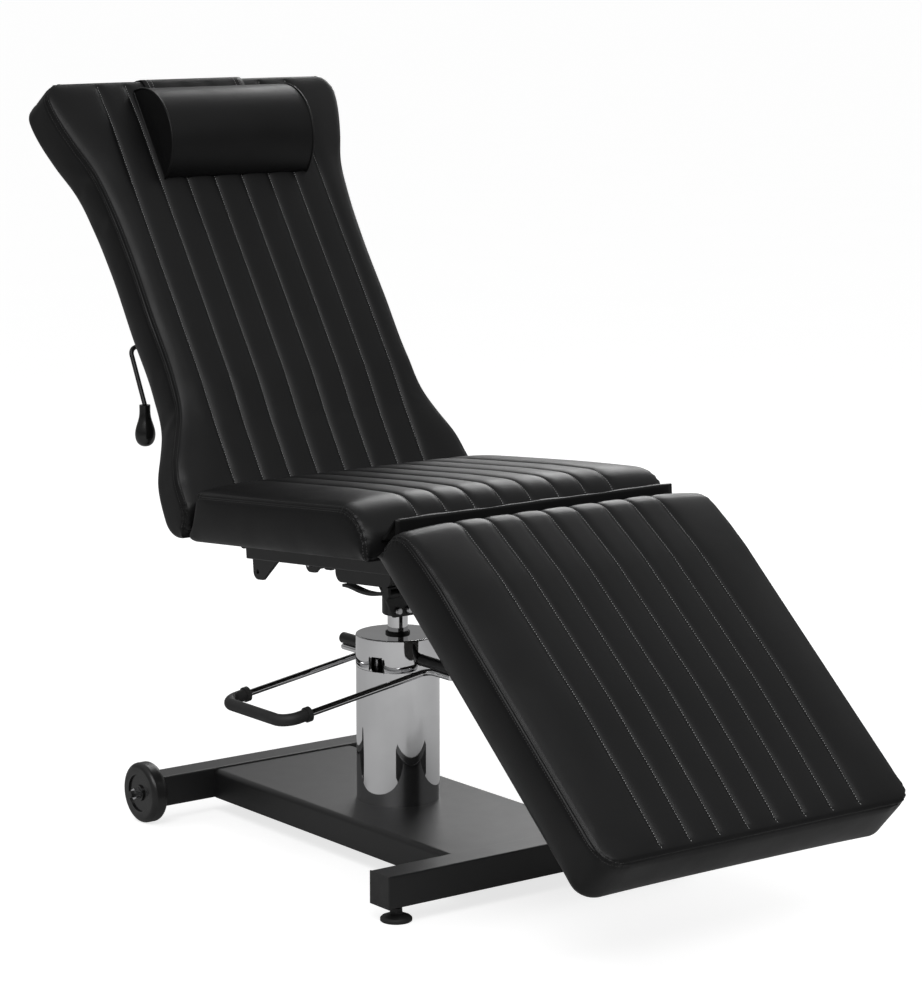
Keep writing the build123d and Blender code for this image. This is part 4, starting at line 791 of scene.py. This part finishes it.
def hermite(shares, x):
    """A smooth curve through a table of shares."""
    xs = [point[0] for point in shares]
    ys = [point[1] for point in shares]
    index = min(max(int(np.searchsorted(xs, x)) - 1, 0), len(xs) - 2)
    slopes = np.gradient(ys, xs)
    width = xs[index + 1] - xs[index]
    t = (x - xs[index]) / width
    low = (2 * t ** 3 - 3 * t ** 2 + 1) * ys[index] + (t ** 3 - 2 * t ** 2 + t) * width * slopes[index]
    high = (3 * t ** 2 - 2 * t ** 3) * ys[index + 1] + (t ** 3 - t ** 2) * width * slopes[index + 1]
    return float(low + high)


def seat_shell():
    rear_top, rear_bottom = 146 * MM, 186 * MM
    front, radius, height = 332 * MM, 66 * MM, 76 * MM
    rise, lip = 9 * MM, 6 * MM
    top = Path(
        straight((rear_top, rise), (-(front - radius), rise)),
        arc((-(front - radius), rise - radius), radius, 90, 180),
        straight((-front, rise - radius), (-front, -height + lip)),
    )
    bottom = Path(straight((rear_bottom, -height), (-front, -height)))
    crown = [(0, 7), (0.15, 11), (0.6, 11), (0.8, 8), (0.95, 3), (1, 1)]
    half = HALF_WIDTH + SEAT_SIDE_FULLNESS
    return Shell(
        "seat_pad", top, bottom, lambda share: half, ends=(True, False), corner=12 * MM, edge_drop=6 * MM,
        crown=crown, seam_lift=[(0, 0)], fade=-62 * MM, fine=(0.76, 1.0),
    )


def back_shell():
    front, rear, radius = HINGE_DROP + 6 * MM, 11 * MM, 45 * MM
    middle = (front + rear) / 2
    nose = 78
    top = Path(
        arc((radius, middle), radius, 90 + nose, 90),
        straight((radius, front), (BACK_LENGTH, front)),
    )
    bottom = Path(
        arc((radius, middle), radius, 270 - nose, 270),
        straight((radius, rear), (BACK_LENGTH, rear)),
    )
    hidden = radius * math.radians(nose) - radius

    def half_width(share):
        along = (share * top.length - hidden) / BACK_LENGTH
        return HALF_WIDTH * hermite(BACK_WIDTH_SHARES, min(max(along, 0.0), 1.0)) + BACK_SIDE_FULLNESS

    crown = [(0, 2), (0.12, 6), (0.5, 8), (0.9, 7), (1, 1)]
    seam_lift = [(0, -3), (0.12, -8), (0.22, -6), (0.32, 0), (1, 0)]
    return Shell(
        "back_pad", top, bottom, half_width, ends=(False, True), corner=42 * MM, edge_drop=10 * MM,
        crown=crown, seam_lift=seam_lift, fade=50 * MM, fine=(0.0, 0.08), under_raise=9 * MM,
    )


def leg_shell():
    start, end = -24 * MM, 627 * MM
    front, rear, radius = HINGE_DROP + 14 * MM, 15 * MM, 36 * MM
    lip = 24 * MM
    top = Path(
        straight((-start, rear + lip), (-start, front - radius)),
        arc((-start - radius, front - radius), radius, 0, 90),
        straight((-start - radius, front), (-end, front)),
    )
    bottom = Path(straight((-start, rear), (-end, rear)))
    crown = [(0, 0), (0.035, 1), (0.072, 8), (0.108, 8), (0.156, 5), (0.214, 5), (0.28, 7), (0.437, 10),
             (0.627, 13), (0.816, 9), (0.948, 4), (1, 0)]
    seam_lift = [(0, -3), (0.035, -3), (0.072, -10), (0.108, -11), (0.156, -4), (0.214, 1), (0.28, 4), (1, 4)]
    half = HALF_WIDTH + LEG_SIDE_FULLNESS
    return Shell(
        "leg_pad", top, bottom, lambda share: half, ends=(False, True), corner=34 * MM, edge_drop=6 * MM,
        crown=crown, seam_lift=seam_lift, fade=42 * MM, fine=(0.0, 0.12),
    )


# The bolster, its piping, the strap and the flap

def tube(run, radius, sides=8):
    """A closed round cord along a closed run of points."""
    points, faces = [], []
    count = len(run)
    for index, middle in enumerate(run):
        along = (run[(index + 1) % count] - run[index - 1]).normalized()
        side = along.cross(Vector((1, 0, 0))).normalized()
        up = side.cross(along)
        for step in range(sides):
            angle = 2 * math.pi * step / sides
            points.append(middle + (side * math.cos(angle) + up * math.sin(angle)) * radius)
    for index in range(count):
        for step in range(sides):
            here, there = index * sides, (index + 1) % count * sides
            after = (step + 1) % sides
            faces.append((here + step, here + after, there + after, there + step))
    return points, faces


BOLSTER_T = 726 * MM
BOLSTER_BASE = 106 * MM
BOLSTER_LEFT = -130.5 * MM
BOLSTER_RIGHT = 162.5 * MM
BOLSTER_CHORD = 176 * MM
BOLSTER_HEIGHT = 72 * MM
BOLSTER_FULLNESS = 0.03
CAP_MIDDLE = 34 * MM
CAP_BULGE = 2.5 * MM
CAP_SHARES = (0.0, 0.3, 0.6, 0.85, 0.96)
ARCH_STEPS = 36
BASE_STEPS = 12
LENGTH_STEPS = 26
PIPING_RADIUS = 2.0 * MM
PIPING_PITCH = 5 * MM


def bolster_ring():
    """The bolster's D section: a flat base under a low arch."""
    chord, height = BOLSTER_CHORD, BOLSTER_HEIGHT
    radius = (chord ** 2 / 4 + height ** 2) / (2 * height)
    centre = height - radius
    low = math.asin(-centre / radius)
    ring = []
    for step in range(ARCH_STEPS + 1):
        angle = low + (math.pi - 2 * low) * step / ARCH_STEPS
        ring.append((radius * math.cos(angle), centre + radius * math.sin(angle)))
    ring += [(-chord / 2 + chord * step / BASE_STEPS, 0.0) for step in range(1, BASE_STEPS)]
    return ring


def close_mesh(piece, merge=0.0):
    """Joins points within the merge distance and turns all faces outward."""
    mesh = bmesh.new()
    mesh.from_mesh(piece.data)
    if merge:
        bmesh.ops.remove_doubles(mesh, verts=mesh.verts, dist=merge)
    bmesh.ops.recalc_face_normals(mesh, faces=mesh.faces)
    mesh.to_mesh(piece.data)
    mesh.free()


def bolster_rows():
    """Places along the bolster, each with its ring's share: the rings of both end caps shrink to a point."""
    length = BOLSTER_RIGHT - BOLSTER_LEFT
    turns = [math.pi * step / LENGTH_STEPS for step in range(LENGTH_STEPS + 1)]
    rows = [(BOLSTER_LEFT, share) for share in CAP_SHARES]
    rows += [(BOLSTER_LEFT + length * (1 - math.cos(turn)) / 2, 1.0) for turn in turns]
    rows += [(BOLSTER_RIGHT, share) for share in reversed(CAP_SHARES)]
    return rows


def make_bolster():
    left, right = BOLSTER_LEFT, BOLSTER_RIGHT
    ring = bolster_ring()
    rows = bolster_rows()
    points, faces, held = [], [], []
    for x, share in rows:
        bulge = CAP_BULGE * (1 - share) if share < 1 else 0.0
        place = x + math.copysign(bulge, x)
        full = 1 + BOLSTER_FULLNESS * math.sin(math.pi * (x - left) / (right - left))
        for y, z in ring:
            height_share = full if z > 1 * MM and share == 1 else 1.0
            z_here = CAP_MIDDLE + (z - CAP_MIDDLE) * share * height_share
            if (share == 1 and x in (left, right)) or z_here < 0.5 * MM:
                held.append(len(points))
            points.append(Vector((place, BOLSTER_T + y * share, BOLSTER_BASE + z_here)))
    wide = len(ring)
    for row in range(len(rows) - 1):
        for step in range(wide):
            after = (step + 1) % wide
            here, there = row * wide, (row + 1) * wide
            faces.append((here + step, here + after, there + after, there + step))
    piece = add_piece("bolster_pad", points, faces, Matrix.Identity(4), "black_leatherette")
    piece.vertex_groups.new(name="held").add(held, 1.0, "ADD")
    close_mesh(piece, 0.01 * MM)
    swell(piece, BOLSTER_SWELL)
    subdivide(piece)
    shade_smooth(piece)
    piece.matrix_world = back_place
    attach(piece, "bolster")
    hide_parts("headrest_bolster")
    for name, x in (("bolster_piping_left", right), ("bolster_piping_right", left)):
        rim = [Vector((x, BOLSTER_T + y, BOLSTER_BASE + z)) for y, z in ring]
        cord_points, cord_faces = tube(dense_points(rim, PIPING_PITCH, True), PIPING_RADIUS)
        cord = add_piece(name, cord_points, cord_faces, back_place, "black_leatherette", "bolster")


def band(lines, thickness):
    """A closed sheet: lines of points across it, each with its outward direction, given its thickness."""
    points, faces = [], []
    wide = len(lines[0])
    for line in lines:
        points += [point for point, _ in line]
    count = len(points)
    for line in lines:
        points += [point + normal * thickness for point, normal in line]
    for row in range(len(lines) - 1):
        for column in range(wide - 1):
            a = row * wide + column
            quad = (a, a + 1, a + wide + 1, a + wide)
            faces.append(tuple(reversed(quad)))
            faces.append(tuple(index + count for index in quad))
    last = (len(lines) - 1) * wide
    for column in range(wide - 1):
        faces.append((column, column + 1, column + 1 + count, column + count))
        faces.append((last + column + 1, last + column, last + column + count, last + column + 1 + count))
    for row in range(len(lines) - 1):
        a, b = row * wide, (row + 1) * wide
        faces.append((b, a, a + count, b + count))
        a, b = a + wide - 1, b + wide - 1
        faces.append((a, b, b + count, a + count))
    return points, faces


STRAP_HALF_WIDTH = 102.5 * MM
STRAP_THICKNESS = 2 * MM
STRAP_FRONT_T = 660 * MM
STRAP_REAR_T = 706 * MM
STRAP_GUIDE = 14 * MM
STRAP_GAP = 0.9 * MM
STRAP_BOARD_GAP = 0.6 * MM
STRAP_BOARD_REACH = 4 * MM
STRAP_BOARD_MARGIN = 6 * MM
STRAP_ROWS = 90
STRAP_COLUMNS = 25
STRAP_STITCH_COLUMNS = (1, 2, 22, 23)


def make_strap(pad):
    """The strap that holds the bolster: it lies on the cover, over the top edge and down the board."""
    tree = surface_tree(pad)
    front, rear, far = HINGE_DROP + 10 * MM, 15 * MM, STRAP_GUIDE
    guide = Path(
        straight((STRAP_FRONT_T, front + far), (BACK_LENGTH, front + far)),
        arc((BACK_LENGTH, front), far, 90, 0),
        straight((BACK_LENGTH + far, front), (BACK_LENGTH + far, rear)),
        arc((BACK_LENGTH, rear), far, 0, -90),
        straight((BACK_LENGTH, rear - far), (STRAP_REAR_T, rear - far)),
    )
    half = STRAP_HALF_WIDTH
    lines = []
    for place in np.linspace(0, guide.length, STRAP_ROWS):
        y, z = guide.at(place)
        line = []
        for x in np.linspace(-half, half, STRAP_COLUMNS):
            point = Vector((x, y, z))
            nearest = tree.find_nearest(point)[0]
            outward = point - nearest
            outward.x = 0
            outward.normalize()
            spot = Vector((x, nearest.y, nearest.z)) + outward * STRAP_GAP
            low = spot.z < rear + STRAP_BOARD_REACH
            if low and spot.y < BACK_LENGTH - STRAP_BOARD_MARGIN and z < front:
                spot.z = rear - STRAP_BOARD_GAP
                outward = Vector((0, 0, -1))
            line.append((spot, outward))
        lines.append(line)
    points, faces = band(lines, STRAP_THICKNESS)
    strap = add_piece("strap", points, faces, back_place, "black_leatherette", "back")
    close_mesh(strap)
    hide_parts("headrest_strap")
    bpy.context.view_layer.update()
    runs = []
    for column in STRAP_STITCH_COLUMNS:
        runs.append([line[column][0] + line[column][1] * 3 * STRAP_THICKNESS for line in lines])
    sew("strap_stitches", strap, runs, "back", pitch=STRAP_STITCH_PITCH)


FLAP_BASE = Vector((0, 25.5 * MM, 44 * MM))
FLAP_RIDGE = Vector((0, 50 * MM, 69 * MM))
FLAP_FOOT = Vector((0, -0.2262, 0.5925))
FLAP_HALF_WIDTH = 275 * MM
FLAP_THICKNESS = 1.4 * MM
FLAP_BEND = 3 * MM
FLAP_COLUMNS = 57
FLAP_WAVE_REACH = 50 * MM


def make_flap():
    """A folded strip over the hinge: its ridge stands up between the seat and the leg rest."""
    base, ridge, foot = leg_place @ FLAP_BASE, leg_place @ FLAP_RIDGE, FLAP_FOOT
    lines = []
    up = (ridge - base).normalized() * FLAP_BEND
    profile = [base.lerp(ridge, share) for share in np.linspace(0, 1, 9)[:-1]]
    profile += [ridge - up + up * 0.6, ridge.lerp(foot, 0.02)]
    profile += [ridge.lerp(foot, share) for share in np.linspace(0.08, 1, 10)]
    outward = []
    for index, point in enumerate(profile):
        before, after = profile[max(index - 1, 0)], profile[min(index + 1, len(profile) - 1)]
        along = (after - before).normalized()
        outward.append(Vector((0, -along.z, along.y)))
    half = FLAP_HALF_WIDTH
    for point, normal in zip(profile, outward):
        line = []
        weight = smooth_step(1 - (point - ridge).length / FLAP_WAVE_REACH)
        for x in np.linspace(-half, half, FLAP_COLUMNS):
            wave = 0.8 * MM * math.sin(x * 31 + 1.3) + 0.5 * MM * math.sin(x * 83)
            spot = point + Vector((x, 0, 0)) + normal * wave * weight
            line.append((spot, normal))
        lines.append(line)
    points, faces = band(lines, FLAP_THICKNESS)
    flap = add_piece("flap", points, faces, Matrix.Identity(4), "black_leatherette")
    close_mesh(flap)
    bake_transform(flap)
    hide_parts("leg_flap")


# Camera at the photograph's place, and studio light

CAMERA_PLACE = (-3.163, -4.231, 1.511)
CAMERA_AZIMUTH = -37.2
CAMERA_PITCH = 9.82
CAMERA_LENS = 118.9
FLOOR_HALF = 80.0


def make_camera():
    data = bpy.data.cameras.new("camera")
    camera = bpy.data.objects.new("camera", data)
    bpy.context.scene.collection.objects.link(camera)
    data.sensor_fit = "VERTICAL"
    data.sensor_height = 36
    data.lens = CAMERA_LENS
    data.clip_end = 200
    azimuth, pitch = math.radians(CAMERA_AZIMUTH), math.radians(CAMERA_PITCH)
    level = math.cos(pitch)
    back = Vector((math.sin(azimuth) * level, -math.cos(azimuth) * level, math.sin(pitch)))
    camera.matrix_world = Matrix.Translation(CAMERA_PLACE) @ back.to_track_quat("Z", "Y").to_matrix().to_4x4()
    bpy.context.scene.camera = camera


def softbox(name, place, aim, size, power):
    data = bpy.data.lights.new(name, "AREA")
    data.shape = "RECTANGLE"
    data.size, data.size_y = size
    data.energy = power
    light = bpy.data.objects.new(name, data)
    direction = Vector(aim) - Vector(place)
    light.matrix_world = Matrix.Translation(place) @ direction.to_track_quat("-Z", "Y").to_matrix().to_4x4()
    bpy.context.scene.collection.objects.link(light)


def make_world():
    """A pale tent: dim at the horizon and bright overhead, and white where it is seen directly."""
    world = bpy.data.worlds.new("studio")
    world.use_nodes = True
    tree = world.node_tree
    direction = tree.nodes.new("ShaderNodeTexCoord").outputs["Generated"]
    split = tree.nodes.new("ShaderNodeSeparateXYZ")
    tree.links.new(direction, split.inputs["Vector"])
    strength = ranged(tree, split.outputs["Z"], low=0.12, high=0.52, from_low=0.0, from_high=0.7)
    background = tree.nodes["Background"]
    background.inputs["Color"].default_value = (1, 1, 1, 1)
    brightest = add_node(tree, "ShaderNodeMath")
    brightest.operation = "MAXIMUM"
    tree.links.new(strength, brightest.inputs[0])
    tree.links.new(tree.nodes.new("ShaderNodeLightPath").outputs["Is Camera Ray"], brightest.inputs[1])
    tree.links.new(brightest.outputs["Value"], background.inputs["Strength"])
    bpy.context.scene.world = world


def make_floor():
    corners = [(x * FLOOR_HALF, y * FLOOR_HALF, 0) for x, y in ((-1, -1), (1, -1), (1, 1), (-1, 1))]
    mesh = bpy.data.meshes.new("floor")
    mesh.from_pydata(corners, [], [(0, 1, 2, 3)])
    floor = bpy.data.objects.new("floor", mesh)
    bpy.context.scene.collection.objects.link(floor)
    material, tree, shader = new_material("pale_floor")
    colour = grey_mix(tree, noise_value(tree, 2.0), (0.48, 0.48, 0.48), (0.5, 0.5, 0.5))
    tree.links.new(colour, shader.inputs["Base Color"])
    shader.inputs["Roughness"].default_value = 0.9
    shader.inputs["Specular IOR Level"].default_value = 0.1
    shader.inputs["Emission Color"].default_value = (1, 1, 1, 1)
    seen = tree.nodes.new("ShaderNodeLightPath").outputs["Is Camera Ray"]
    glow = ranged(tree, seen, low=0.04, high=0.76, from_low=0.0, from_high=1.0)
    tree.links.new(glow, shader.inputs["Emission Strength"])
    mesh.materials.append(material)


def make_studio():
    bpy.context.scene.view_settings.view_transform = "Standard"
    make_world()
    softbox("key", place=(-2.2, -1.6, 3.4), aim=(0, 0, 0.6), size=(2.2, 1.6), power=60)
    softbox("rim", place=(2.6, 2.4, 2.6), aim=(0, 0.2, 0.7), size=(1.6, 2.2), power=50)
    softbox("front", place=(-0.5, -3.6, 3.1), aim=(0, 0.2, 0.8), size=(2.4, 1.2), power=50)
    make_floor()


make_camera()
make_studio()
dress_cad_nodes()
make_cushion(seat_shell(), "seat_cushion", "seat", seat_place, SEAT_SWELL)
back_pad = make_cushion(back_shell(), "back_cushion", "back", back_place, BACK_SWELL)
make_cushion(leg_shell(), "leg_cushion", "leg_rest", leg_place, LEG_SWELL)
make_bolster()
make_strap(back_pad)
make_flap()
